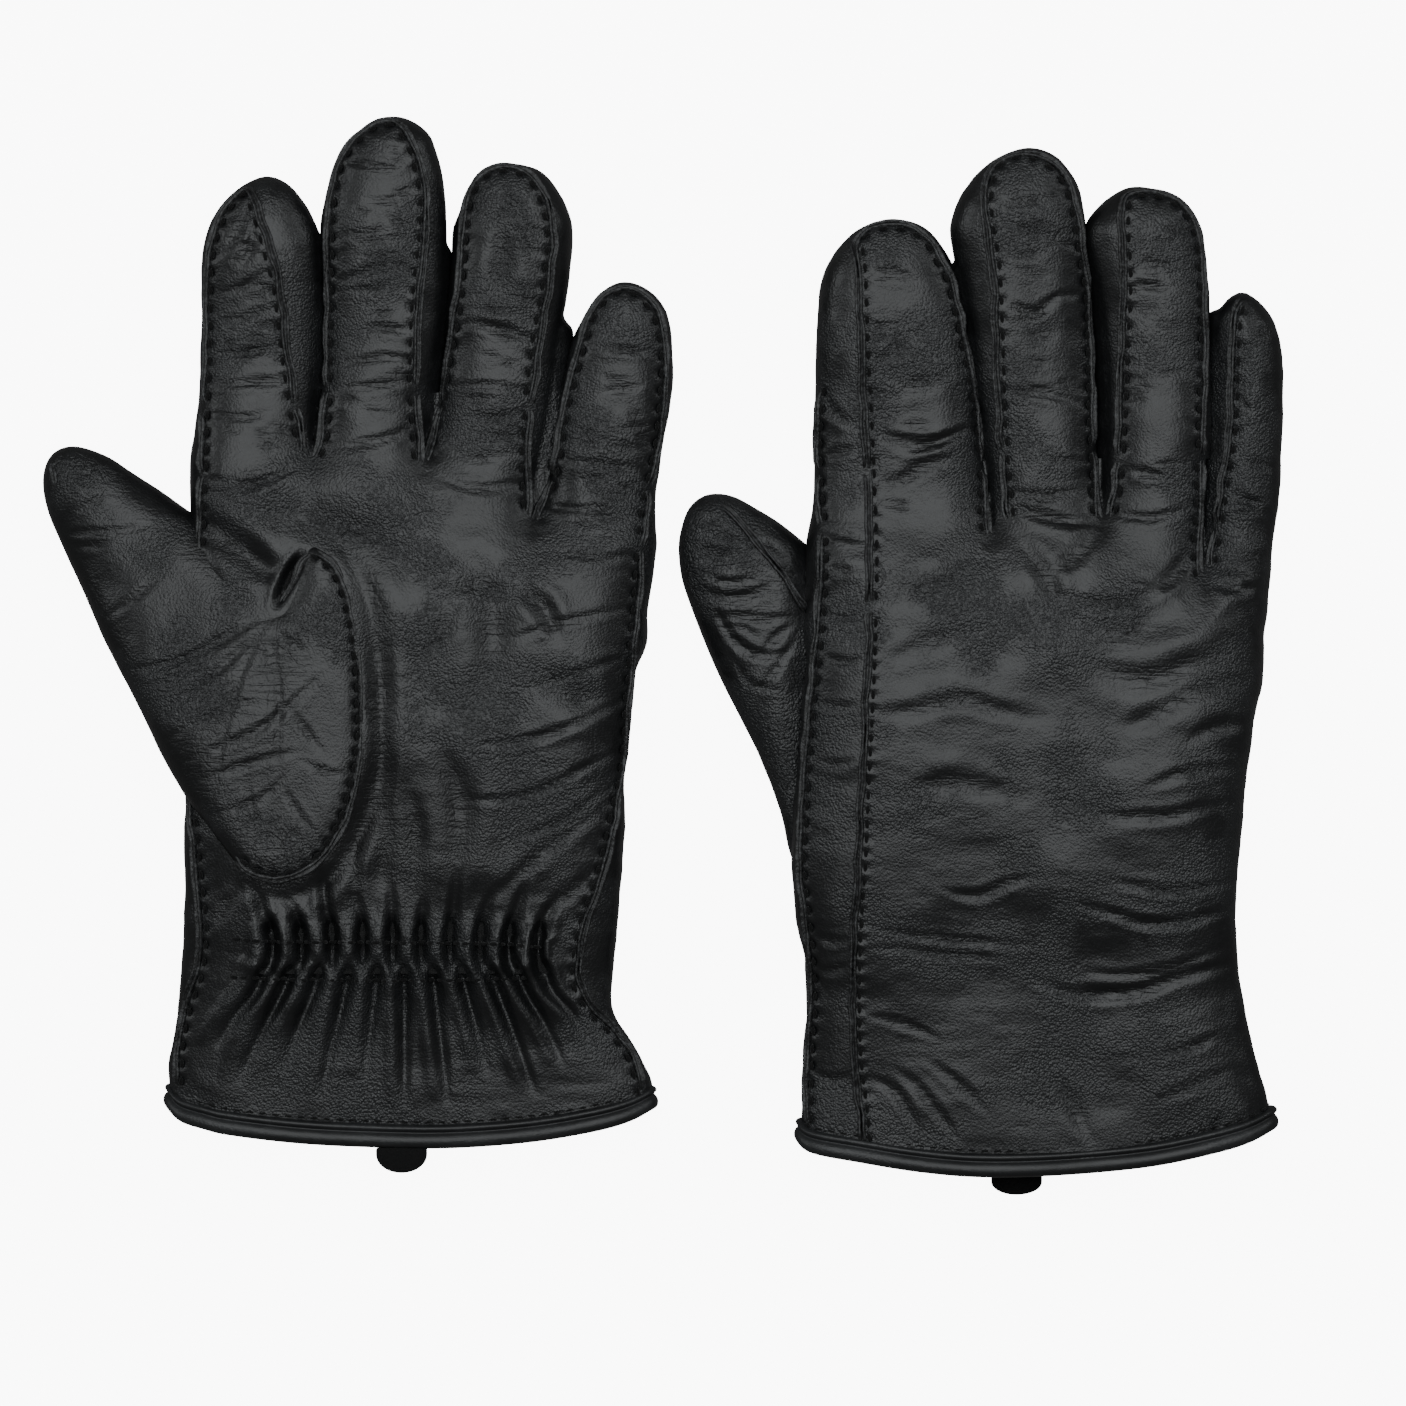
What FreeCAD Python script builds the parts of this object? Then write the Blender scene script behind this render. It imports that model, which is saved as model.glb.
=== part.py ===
import FreeCAD, Part
import math
import os

# A pair of lined leather dress gloves lying flat. Millimetres, +Z up, fingertips towards +Y, thumbs on -X.
# The left glove lies palm up and the right glove lies back up, so both silhouettes face the same way.
# Each glove is drawn in its own frame, with the lowest point of its hem at the origin.
# The pair is moved at the end, so that the middle of its footprint is the origin.

Vector = FreeCAD.Vector
UP = Vector(0, 0, 1)

# Walls and clearances
leather = 1.0            # thickness of every leather panel
lining = 2.0             # thickness of the fleece lining
clearance = 0.4          # free space between the thumb and the hand
knuckle_gap = 0.5        # free space between a finger and its root at the knuckle
reach = 400.0            # half size of the blocks that cut space in two
overrun = 1.5            # how far a cutting body runs past what it cuts

# Hand
cuff_width = 118.0
wrist_width = 107.0
palm_width = 111.0
wrist_height = 46.0      # from the hem to the narrowest place
heel_height = 74.0       # from the hem to the heel of the hand
palm_height = 118.0      # from the hem to the widest place
cuff_thickness = 16.0
wrist_thickness = 20.0
palm_thickness = 25.6
row_thickness = 21.5     # where the fingers leave the hand
edge_radius = 8.0        # rounding of the hand's two long edges

# Fingers
finger_thickness = 20.0
finger_lift = 0.4        # the fingers lie this far above the resting plane
finger_radius = 7.0
root_depth = 12.0        # how far a finger's tube reaches into the hand
root_taper = 6.0         # how much narrower that buried end is
root_tuck = 0.6          # the hand's edges lie this far inside the outer fingers' roots
shown_fourchette = 6.5   # depth of the side strip that the lying glove shows
hidden_fourchette = 2.0  # depth of the side strip on the finger's other side
row_gap = 0.8            # free space between neighbouring fingers

# Hem, elastic and pull tab
hem_drop = 9.5           # the middle of the hem hangs this far below its corners
binding_height = 5.0
binding_thickness = 0.9
hem_lift = 1.0           # keeps the binding off the resting plane
elastic_height = 10.0
elastic_width = 84.0
elastic_thickness = 1.0
tab_width = 12.8
tab_thickness = 1.0
tab_gap = 0.8            # from the binding to the pull tab

# Panels of the hand
side_strip_on_palm = 3.0
side_strip_on_back = 14.0
ulnar_wrap = 5.0         # the back leather wraps round the little-finger edge by this much
seam_height = 10.4       # the side seams lie at this height

# Thumbs
thumb_thickness = 20.0
thumb_radius = 8.0
thumb_roof = 32.0        # degrees at which the thumb's leather slopes down to the palm
base_width = 42.0        # oval of thumb leather let into the palm
base_length = 86.0
base_lean = 4.0          # degrees by which the oval leans from +Y towards +X
base_offset = 9.5        # from the hinge line's middle to the oval's middle


class Finger:
    """One finger: its place in the row of four and the heights of its root, knuckle and tip above the hem."""

    def __init__(self, name, place, root, knuckle, tip):
        self.name = name
        self.place = place
        self.root = root
        self.knuckle = knuckle
        self.tip = tip


class Row:
    """A line across the four fingers: its height, the thumb-side edge, four widths and three extra gaps."""

    def __init__(self, height, start, widths, extra):
        self.height = height
        self.start = start
        self.widths = widths
        self.extra = extra

    def edges(self, place):
        """Left and right edge of the finger at this place, counted from the thumb side."""
        left = self.start
        for index in range(place):
            left += self.widths[index] + row_gap + self.extra[index]
        return left, left + self.widths[place]


class Thumb:
    """A thumb tube, measured from its tip: tip point, lean from +Y, stations and the hinge line in plan."""

    def __init__(self, tip, lean, stations, hinge, hinge_height, fold):
        self.tip = tip
        self.lean = lean
        self.stations = stations
        self.hinge = hinge
        self.hinge_height = hinge_height
        self.fold = fold


class Glove:
    """One glove of the pair and how it lies."""

    def __init__(self, side, place, palm_up, drift, ease, crotches, rows, fingers, thumb, gusset, tab):
        self.side = side
        self.place = place
        self.palm_up = palm_up
        self.drift = drift
        self.ease = ease
        self.crotches = crotches
        self.rows = rows
        self.fingers = fingers
        self.thumb = thumb
        self.gusset = gusset
        self.tab = tab


palm_top = palm_thickness + clearance

left_glove = Glove(
    side="left",
    place=(-63.0, -122.5),
    palm_up=True,
    drift=(-0.3, -0.5, 0.5, 2.5, 4.0, 5.2),
    ease=2.0,
    crotches=((-24.6, 169.3), (4.2, 169.3), (31.0, 155.0)),
    rows=(
        Row(169.3, -52.2, (27.2, 28.0, 26.0, 27.5), (0.1, 0.0, 3.0)),
        Row(197.5, -52.3, (29.6, 29.5, 29.4, 27.7), (0.0, 0.0, 0.2)),
        Row(230.0, -52.0, (29.5, 30.0, 29.8, 28.0), (0.9, 0.0, 0.0)),
    ),
    fingers=(
        Finger("index", 0, 169.3, 197.5, 241.8),
        Finger("middle", 1, 169.3, 201.5, 256.8),
        Finger("ring", 2, 169.3, 197.5, 245.5),
        Finger("little", 3, 155.0, 178.0, 215.5),
    ),
    thumb=Thumb(
        tip=(-88.2, 174.0),
        lean=-37.4,
        stations=((9.0, 17.0, 0.0), (30.0, 29.5, 2.0), (60.0, 40.0, 7.0), (95.0, 52.0, 13.0), (116.0, 56.0, 16.0)),
        hinge=((-48.75, 73.75), (-31.75, 133.25)),
        hinge_height=palm_top,
        fold=70.0,
    ),
    gusset=((-47.8, 147.2), (-31.2, 130.2), (-23.8, 151.2)),
    tab=(-2.0, 6.4),
)

right_glove = Glove(
    side="right",
    place=(93.75, -130.0),
    palm_up=False,
    drift=(0.3, 0.6, 1.5, 2.0, -1.5, 0.0),
    ease=4.5,
    crotches=((-11.2, 158.8), (15.9, 162.0), (41.2, 148.8)),
    rows=(
        Row(158.8, -55.2, (43.5, 26.0, 24.4, 16.0), (0.4, 0.8, 0.0)),
        Row(190.0, -54.8, (40.0, 29.2, 27.0, 15.4), (0.2, 0.6, 0.4)),
        Row(245.0, -51.6, (32.0, 32.0, 28.6, 17.2), (0.0, 0.0, 0.4)),
    ),
    fingers=(
        Finger("index", 0, 158.8, 189.0, 237.5),
        Finger("middle", 1, 162.0, 194.0, 256.3),
        Finger("ring", 2, 154.0, 192.0, 247.0),
        Finger("little", 3, 148.8, 175.0, 221.3),
    ),
    thumb=Thumb(
        tip=(-85.0, 168.8),
        lean=-30.0,
        stations=((9.0, 18.5, 0.0), (20.0, 24.5, 0.0), (60.0, 34.0, 0.0), (108.0, 48.0, 0.0)),
        hinge=((-58.2, 78.0), (-58.2, 136.0)),
        hinge_height=-clearance,
        fold=70.0,
    ),
    gusset=((-60.0, 160.0), (-54.0, 138.0), (-41.0, 156.0)),
    tab=(-4.8, 5.0),
)

gloves = (left_glove, right_glove)


def blend(low, high, share):
    """The value a share of the way from low to high."""
    return low + (high - low) * share


def section(centre, lean, width, height, radius):
    """Upright rounded rectangle across a direction that leans by lean degrees from +Y towards +X."""
    across = Vector(math.cos(math.radians(lean)), -math.sin(math.radians(lean)), 0)
    radius = min(radius, 0.45 * width, 0.45 * height)
    half = width / 2 - radius
    rise = height / 2 - radius
    corners = ((half, -rise, -90), (half, rise, 0), (-half, rise, 90), (-half, -rise, 180))

    def at(x, z, angle):
        turn = math.radians(angle)
        return centre + across * (x + radius * math.cos(turn)) + UP * (z + radius * math.sin(turn))

    edges = []
    for index, (x, z, angle) in enumerate(corners):
        arc = Part.Arc(at(x, z, angle), at(x, z, angle + 45), at(x, z, angle + 90))
        edges.append(arc.toShape())
        next_x, next_z, next_angle = corners[(index + 1) % 4]
        edges.append(Part.makeLine(at(x, z, angle + 90), at(next_x, next_z, next_angle)))
    return Part.Wire(edges)


def prism(points, low=-reach, high=reach):
    """Upright prism over a plan outline."""
    corners = [Vector(x, y, low) for x, y in points]
    outline = Part.makePolygon(corners + corners[:1])
    return Part.Face(outline).extrude(UP * (high - low))


def half_space(point, outward):
    """Block with one face through a point; the block lies on the side that outward points to."""
    block = Part.makeBox(2 * reach, 2 * reach, reach, Vector(-reach, -reach, 0))
    turn = FreeCAD.Rotation(UP, outward)
    block.Placement = FreeCAD.Placement(point, turn)
    return block


def above(height):
    """Everything above a height."""
    return half_space(Vector(0, 0, height), UP)


def below(height):
    """Everything below a height."""
    return half_space(Vector(0, 0, height), -UP)


def hem_region(shift):
    """Everything on the fingers' side of the curved hem, with the hem moved by shift along +Y."""
    half = cuff_width / 2
    left = Vector(-half, hem_drop + shift, -reach)
    right = Vector(half, hem_drop + shift, -reach)
    lowest = Vector(0, shift, -reach)
    curve = Part.Arc(left, lowest, right).toShape()
    out_right = Vector(reach, hem_drop + shift, -reach)
    out_left = Vector(-reach, hem_drop + shift, -reach)
    top_right = Vector(reach, reach, -reach)
    top_left = Vector(-reach, reach, -reach)
    line = Part.makePolygon([right, out_right, top_right, top_left, out_left, left])
    return Part.Face(Part.Wire([curve] + line.Edges)).extrude(UP * 2 * reach)


def finger_span(glove, place, height):
    """Centre and width of a finger at a height above the hem, from the glove's three rows."""
    low, middle, high = glove.rows
    first, last = (low, middle) if height < middle.height else (middle, high)
    share = (height - first.height) / (last.height - first.height)
    first_left, first_right = first.edges(place)
    last_left, last_right = last.edges(place)
    left = blend(first_left, last_left, share)
    right = blend(first_right, last_right, share)
    return (left + right) / 2, right - left


def knuckle_point(glove, finger):
    """Middle of the knuckle in plan."""
    return finger_span(glove, finger.place, finger.knuckle)[0], finger.knuckle


def finger_lean(glove, finger):
    """Degrees by which the finger leans from +Y towards +X beyond its knuckle."""
    x, y = knuckle_point(glove, finger)
    tip_x = finger_span(glove, finger.place, finger.tip - row_thickness)[0]
    return math.degrees(math.atan2(tip_x - x, finger.tip - row_thickness - y))


def along(point, lean, distance):
    """A plan point moved by a distance in the direction that lean gives."""
    x, y = point
    turn = math.radians(lean)
    return x + distance * math.sin(turn), y + distance * math.cos(turn)


def hand_stations(glove):
    """Height, left edge, right edge, thickness and lift of each section of the hand."""
    row_left = glove.rows[0].edges(0)[0] + root_tuck
    row_right = glove.rows[0].edges(3)[1] - root_tuck
    start = -cuff_width / 2
    band_top = hem_drop + binding_height
    flare = blend(band_top, wrist_height, 0.5)
    widths = (cuff_width, cuff_width, blend(wrist_width, cuff_width, 0.3), wrist_width,
              blend(wrist_width, palm_width, 0.4), palm_width)
    heights = (0.0, band_top, flare, wrist_height, heel_height, palm_height)
    thicknesses = (cuff_thickness, cuff_thickness, blend(cuff_thickness, wrist_thickness, 0.5),
                   wrist_thickness, palm_thickness, palm_thickness)
    lifts = (hem_lift, hem_lift, 0.3, 0.0, 0.0, 0.0)
    stations = []
    for height, width, drift, thickness, lift in zip(heights, widths, glove.drift, thicknesses, lifts):
        stations.append((height, start + drift, start + drift + width, thickness, lift))
    lowest_crotch = min(crotch[1] for crotch in glove.crotches)
    highest_crotch = max(crotch[1] for crotch in glove.crotches)
    stations.append((lowest_crotch - 4, row_left, row_right - glove.ease, row_thickness, 0.0))
    stations.append((highest_crotch + 4, row_left, row_right, row_thickness, 0.0))
    return stations


def hand_tube(glove, inset, overshoot):
    """The hand's tube, inset by a wall, from overshoot below the hem up to its open top."""
    wires = []
    for index, (height, left, right, thickness, lift) in enumerate(hand_stations(glove)):
        centre = Vector((left + right) / 2, height - (overshoot if index == 0 else 0), lift + thickness / 2)
        width = right - left - 2 * inset
        wires.append(section(centre, 0, width, thickness - 2 * inset, edge_radius - inset))
    return Part.makeLoft(wires, True, True)


def crotch_region(glove, inset):
    """Everything below the line through the three crotches between the fingers."""
    line = [(x, y - inset) for x, y in glove.crotches]
    first_y = line[0][1]
    last_y = line[-1][1]
    return prism([(-reach, -reach), (-reach, first_y)] + line + [(reach, last_y), (reach, -reach)])


def root_tube(glove, finger, inset, overshoot):
    """A finger's tube from inside the hand up to its knuckle."""
    low_centre, low_width = finger_span(glove, finger.place, finger.root - root_depth)
    root_centre, root_width = finger_span(glove, finger.place, finger.root)
    knuckle = knuckle_point(glove, finger)
    knuckle_width = finger_span(glove, finger.place, finger.knuckle)[1]
    lean = finger_lean(glove, finger)
    top = along(knuckle, lean, overshoot - knuckle_gap / 2)
    middle = finger_lift + finger_thickness / 2
    height = finger_thickness - 2 * inset
    places = (
        (Vector(low_centre, finger.root - root_depth, middle), 0, low_width - root_taper),
        (Vector(root_centre, finger.root, middle), 0, root_width),
        (Vector(top[0], top[1], middle), lean, knuckle_width),
    )
    wires = []
    for centre, turn, width in places:
        wires.append(section(centre, turn, width - 2 * inset, height, finger_radius - inset))
    return Part.makeLoft(wires, True, True)


def finger_tube(glove, finger, inset, overshoot):
    """A finger's tube from its knuckle to its round tip."""
    knuckle = knuckle_point(glove, finger)
    lean = finger_lean(glove, finger)
    length = (finger.tip - finger.knuckle) / math.cos(math.radians(lean))
    knuckle_width = finger_span(glove, finger.place, finger.knuckle)[1]
    tip_width = finger_span(glove, finger.place, finger.tip - knuckle_width / 2)[1]
    middle = finger_lift + finger_thickness / 2
    radius = tip_width / 2 - inset
    stations = [(knuckle_gap / 2 - overshoot, knuckle_width - 2 * inset, finger_thickness - 2 * inset)]
    round_start = length - inset - radius
    for angle in (0, 28, 50, 68, 80):
        turn = math.radians(angle)
        narrow = math.cos(turn)
        thickness = (finger_thickness - 2 * inset) * math.sqrt(narrow)
        stations.append((round_start + radius * math.sin(turn), 2 * radius * narrow, thickness))
    wires = []
    for distance, width, thickness in stations:
        x, y = along(knuckle, lean, distance)
        wires.append(section(Vector(x, y, middle), lean, width, thickness, finger_radius - inset))
    return Part.makeLoft(wires, True, True)


def union(shapes):
    """One solid from several that overlap."""
    return shapes[0].multiFuse(shapes[1:]).removeSplitter()


def hand_body(glove, inset, hem_overshoot, top_overshoot):
    """The hand with its four finger roots, inset by a wall."""
    hand = hand_tube(glove, inset, hem_overshoot).common(crotch_region(glove, inset))
    roots = [root_tube(glove, finger, inset, top_overshoot) for finger in glove.fingers]
    return union([hand] + roots)


def plan_strip(points_left, points_right):
    """Plan outline from its left edge, upwards, and its right edge, upwards."""
    return prism(points_left + points_right[::-1])


def fourchette_insets(glove, on_palm):
    """Side strip depths at the left and the right of a finger, on the palm face or the back face."""
    shown = on_palm == glove.palm_up
    if glove.palm_up:
        return (hidden_fourchette, shown_fourchette) if shown else (shown_fourchette, hidden_fourchette)
    return (shown_fourchette, hidden_fourchette) if shown else (hidden_fourchette, shown_fourchette)


def finger_face(glove, finger, on_palm, start, end):
    """Plan strip of a finger's palm or back panel between two distances from its knuckle."""
    left_inset, right_inset = fourchette_insets(glove, on_palm)
    if finger.name == "index":
        left_inset = side_strip_on_palm if on_palm else hidden_fourchette
    lean = finger_lean(glove, finger)
    knuckle = knuckle_point(glove, finger)
    sides = ([], [])
    for distance in (start, end):
        x, y = along(knuckle, lean, distance)
        width = finger_span(glove, finger.place, min(y, finger.tip))[1]
        for points, offset in zip(sides, (left_inset - width / 2, width / 2 - right_inset)):
            turn = math.radians(lean)
            points.append((x + offset * math.cos(turn), y - offset * math.sin(turn)))
    return plan_strip(*sides)


def root_face(glove, finger, on_palm):
    """Plan strip of a finger root's palm or back panel, from inside the hand to past the knuckle."""
    left_inset, right_inset = fourchette_insets(glove, on_palm)
    if finger.name == "index":
        left_inset = side_strip_on_palm if on_palm else side_strip_on_back
    if finger.name == "little":
        right_inset = ulnar_wrap if on_palm else -overrun
    sides = ([], [])
    for height in (finger.root - root_depth, finger.root, finger.knuckle, finger.knuckle + 3):
        centre, width = finger_span(glove, finger.place, height)
        sides[0].append((centre - width / 2 + left_inset, height))
        sides[1].append((centre + width / 2 - right_inset, height))
    return plan_strip(*sides)


def hand_face(glove, on_palm):
    """Plan outline of the hand's palm or back panel below the crotches."""
    left_inset = side_strip_on_palm if on_palm else side_strip_on_back
    right_inset = ulnar_wrap if on_palm else -overrun
    stations = hand_stations(glove)
    left = [(station[1] + left_inset, station[0]) for station in stations]
    right = [(station[2] - right_inset, station[0]) for station in stations]
    left[0] = (left[0][0], -3 * overrun)
    right[0] = (right[0][0], -3 * overrun)
    return plan_strip(left, right).common(crotch_region(glove, leather + 0.5))


def panel_side(glove, on_palm):
    """The half of space in which the palm panel or the back panel lies."""
    return above(seam_height) if on_palm == glove.palm_up else below(seam_height)


def panel_region(glove, on_palm):
    """Space that the hand's palm or back panel takes, fingers' roots included."""
    faces = [hand_face(glove, on_palm)]
    faces += [root_face(glove, finger, on_palm) for finger in glove.fingers]
    return union(faces).common(panel_side(glove, on_palm))


def thumb_tube(glove, inset, overshoot):
    """The thumb's tube from past its hinge to its round tip, inset by a wall."""
    thumb = glove.thumb
    first = thumb.stations[0]
    radius = first[1] / 2 - inset
    places = []
    for angle in (80, 68, 50, 28):
        turn = math.radians(angle)
        thickness = (thumb_thickness - 2 * inset) * math.sqrt(math.cos(turn))
        distance = inset + radius * (1 - math.sin(turn))
        lift = first[2] * distance / first[0]
        places.append((distance, 2 * radius * math.cos(turn), thickness, lift))
    for distance, width, lift in thumb.stations:
        places.append((distance, width - 2 * inset, thumb_thickness - 2 * inset, lift))
    last = places[-1]
    places[-1] = (last[0] + overshoot, last[1], last[2], last[3])
    wires = []
    for distance, width, thickness, lift in places:
        x, y = along(thumb.tip, thumb.lean, -distance)
        centre = Vector(x, y, lift + thumb_thickness / 2)
        wires.append(section(centre, thumb.lean, width, thickness, thumb_radius - inset))
    return Part.makeLoft(wires, True, True)


def thumb_hinge(glove):
    """Start of the thumb's hinge line and its direction, towards the fingertips."""
    (x, y), (end_x, end_y) = glove.thumb.hinge
    start = Vector(x, y, glove.thumb.hinge_height)
    direction = Vector(end_x - x, end_y - y, 0)
    return start, direction.normalize()


def thumb_keep(glove, inset):
    """Space that the thumb may fill: outside its hinge line and, on the palm, under a sloping roof."""
    start, direction = thumb_hinge(glove)
    outward = UP.cross(direction)
    keep = half_space(start, outward)
    if glove.palm_up:
        slope = math.radians(thumb_roof)
        normal = outward * math.sin(slope) - UP * math.cos(slope)
        foot = start + UP * (leather + lining + clearance)
        roof = half_space(foot + normal * inset, normal)
        keep = keep.common(roof)
    return keep


def thumb_solid(glove, inset, hand_space, overshoot):
    """The thumb, inset by a wall and trimmed to stay clear of the hand."""
    tube = thumb_tube(glove, inset, overshoot)
    return tube.common(thumb_keep(glove, inset)).cut(hand_space)


def thumb_passage(glove):
    """The way from the thumb into the hand, cut through the hand's wall."""
    inner = thumb_tube(glove, leather + lining, 0)
    return inner.common(thumb_keep(glove, leather + lining))


def oval(centre, half_width, half_length, lean):
    """Upright prism over an oval that leans from +Y towards +X."""
    ellipse = Part.Ellipse(Vector(0, 0, -reach), half_length, half_width)
    face = Part.Face(Part.Wire([ellipse.toShape()]))
    solid = face.extrude(UP * 2 * reach)
    solid.rotate(Vector(0, 0, 0), UP, 90 - lean)
    solid.translate(Vector(centre[0], centre[1], 0))
    return solid


def thumb_base_region(glove):
    """Plan of the thumb leather that is let into the palm, up to the thumb's hinge line."""
    (x, y), (end_x, end_y) = glove.thumb.hinge
    centre = ((x + end_x) / 2 + base_offset, (y + end_y) / 2)
    start, direction = thumb_hinge(glove)
    inside = half_space(start, direction.cross(UP))
    return oval(centre, base_width / 2, base_length / 2, base_lean).common(inside)


def gusset_region(glove):
    """Plan of the small triangle let in where the thumb leaves the hand."""
    return prism(list(glove.gusset))


def elastic_region(glove):
    """Plan of the gathered band on the palm side of the wrist."""
    half = elastic_width / 2
    centre = glove.drift[3] - 7.5
    low = wrist_height - elastic_height / 2
    high = low + elastic_height
    return prism([(centre - half, low), (centre + half, low), (centre + half, high), (centre - half, high)])


def split_walls(glove, walls):
    """The leather left between the panels, from the thumb side to the little-finger side."""
    solids = sorted(walls.Solids, key=lambda solid: solid.CenterOfMass.x)
    names = ("side_strip", "fourchette_index_middle", "fourchette_middle_ring",
             "fourchette_ring_little", "ulnar_wall")
    return dict(zip(names, solids))


def finger_pieces(glove, finger):
    """The leather panels and the lining of one finger beyond its knuckle."""
    outer = finger_tube(glove, finger, 0, 0)
    middle = finger_tube(glove, finger, leather, overrun)
    inner = finger_tube(glove, finger, leather + lining, overrun)
    start = half_space(knuckle_plane_point(glove, finger), finger_direction(glove, finger))
    shell = outer.cut(middle)
    length = finger.tip - finger.knuckle + 5
    palm_space = finger_face(glove, finger, True, -3, length).common(panel_side(glove, True))
    back_space = finger_face(glove, finger, False, -3, length).common(panel_side(glove, False))
    front = shell.common(palm_space)
    back = shell.common(back_space)
    sides = shell.cut(palm_space).cut(back_space)
    if finger.name == "little":
        solids = sorted(sides.Solids, key=lambda solid: solid.CenterOfMass.x)
        back = back.fuse(solids[-1]).removeSplitter()
        sides = Part.makeCompound(solids[:-1])
    name = finger.name
    wall = "sidewalls" if name == "index" else "fourchettes"
    return {
        name + "_front": front,
        name + "_back": back,
        name + "_" + wall: sides,
        name + "_lining": middle.common(start).cut(inner),
    }


def finger_direction(glove, finger):
    """Unit vector from a finger's knuckle to its tip."""
    turn = math.radians(finger_lean(glove, finger))
    return Vector(math.sin(turn), math.cos(turn), 0)


def knuckle_plane_point(glove, finger):
    """A point on the face where the finger starts, just past its knuckle."""
    x, y = knuckle_point(glove, finger)
    return Vector(x, y, 0) + finger_direction(glove, finger) * (knuckle_gap / 2)


def hinge_point(glove, finger):
    """Middle of the finger's hinge, on the palm side of the knuckle."""
    x, y = knuckle_point(glove, finger)
    height = finger_lift + finger_thickness + clearance / 2 if glove.palm_up else finger_lift - clearance / 2
    return Vector(x, y, height)


def hand_pieces(glove, passage):
    """The leather panels, binding, elastic and lining of the hand."""
    hem = hem_region(0)
    outer = hand_body(glove, 0, 0, 0).common(hem)
    middle = hand_body(glove, leather, overrun, overrun)
    inner = hand_body(glove, leather + lining, overrun, overrun)
    leather_wall = outer.cut(middle).cut(passage)
    lining_wall = middle.common(outer).cut(inner).cut(passage)
    palm_space = panel_region(glove, True)
    back_space = panel_region(glove, False)
    palm = leather_wall.common(palm_space)
    back = leather_wall.common(back_space)
    walls = split_walls(glove, leather_wall.cut(palm_space).cut(back_space))
    back = back.fuse(walls.pop("ulnar_wall")).removeSplitter()
    base_space = thumb_base_region(glove)
    gusset_space = gusset_region(glove).cut(base_space)
    band = elastic_region(glove).common(panel_side(glove, True))
    elastic = hand_tube(glove, leather, 0).cut(hand_tube(glove, leather + elastic_thickness, 1)).common(band)
    wrap = hand_tube(glove, -binding_thickness, 2 * overrun)
    wrap = wrap.cut(hand_tube(glove, leather + lining + binding_thickness, 3 * overrun))
    wrap = wrap.common(hem_region(-binding_thickness)).cut(hem_region(binding_height))
    wall = outer.cut(inner)
    pieces = {
        "palm_panel": palm.cut(base_space).cut(gusset_space),
        "back_panel": back,
        "thumb_base": palm.common(base_space),
        "thumb_gusset": palm.common(gusset_space),
        "hem_binding": wrap.cut(wall),
        "wrist_elastic": elastic,
        "hand_lining": lining_wall.cut(elastic),
    }
    pieces.update(walls)
    return pieces


def thumb_pieces(glove):
    """The leather and the lining of the thumb."""
    hand_space = hand_body(glove, -clearance, clearance, clearance)
    outer = thumb_solid(glove, 0, hand_space, 0)
    middle = thumb_solid(glove, leather, hand_space, overrun)
    inner = thumb_solid(glove, leather + lining, hand_space, overrun)
    return {
        "thumb_leather": outer.cut(middle),
        "thumb_lining": middle.common(outer).cut(inner),
    }


def tab_hinge(glove):
    """Middle of the pull tab's hinge, just outside the binding of the palm-side hem."""
    x = glove.tab[0]
    radius = (hem_drop ** 2 + (cuff_width / 2) ** 2) / (2 * hem_drop)
    nearest = max(abs(x) - tab_width / 2, 0)
    hem = radius - math.sqrt(radius ** 2 - nearest ** 2)
    wall_middle = (leather + lining) / 2
    height = hem_lift + (cuff_thickness - wall_middle if glove.palm_up else wall_middle)
    return Vector(x, hem - binding_thickness - tab_gap, height)


def pull_tab(glove):
    """The half-round tab that the glove is pulled on by."""
    hinge = tab_hinge(glove)
    length = glove.tab[1] - binding_thickness - tab_gap
    half = tab_width / 2
    left = hinge + Vector(-half, 0, -tab_thickness / 2)
    right = hinge + Vector(half, 0, -tab_thickness / 2)
    round_top = min(length, half)
    shoulder = length - round_top
    low_left = left - Vector(0, shoulder, 0)
    low_right = right - Vector(0, shoulder, 0)
    lowest = Vector(hinge.x, hinge.y - length, left.z)
    curve = Part.Arc(low_left, lowest, low_right).toShape()
    edges = [curve, Part.makeLine(right, left)]
    if shoulder > 0.01:
        edges += [Part.makeLine(low_right, right), Part.makeLine(left, low_left)]
    outline = Part.Wire(Part.__sortEdges__(edges))
    return Part.Face(outline).extrude(UP * tab_thickness)


def glove_pieces(glove):
    """Every piece of one glove, by name, in the glove's own frame."""
    pieces = hand_pieces(glove, thumb_passage(glove))
    for finger in glove.fingers:
        pieces.update(finger_pieces(glove, finger))
    pieces.update(thumb_pieces(glove))
    pieces["pull_tab"] = pull_tab(glove)
    return pieces


def pair_pieces():
    """Every piece of the pair, each glove put in its place."""
    pieces = {}
    for glove in gloves:
        for name, shape in glove_pieces(glove).items():
            placed = shape.copy()
            placed.translate(Vector(glove.place[0], glove.place[1], 0))
            pieces[glove.side + "_" + name] = placed
    return pieces


def footprint_middle(pieces):
    """Middle of the pair's footprint, at the height of its lowest point."""
    box = FreeCAD.BoundBox()
    for shape in pieces.values():
        box.add(shape.optimalBoundingBox(False, False))
    return Vector(box.Center.x, box.Center.y, box.ZMin)


def write_parts():
    """Write each piece to its own file, with the pair's footprint centred on the origin."""
    os.makedirs("parts", exist_ok=True)
    pieces = pair_pieces()
    middle = footprint_middle(pieces)
    for name, shape in pieces.items():
        shape.translate(-middle)
        shape.exportStep(os.path.join("parts", name + ".step"))
    return pieces, middle


pair, origin = write_parts()
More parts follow.
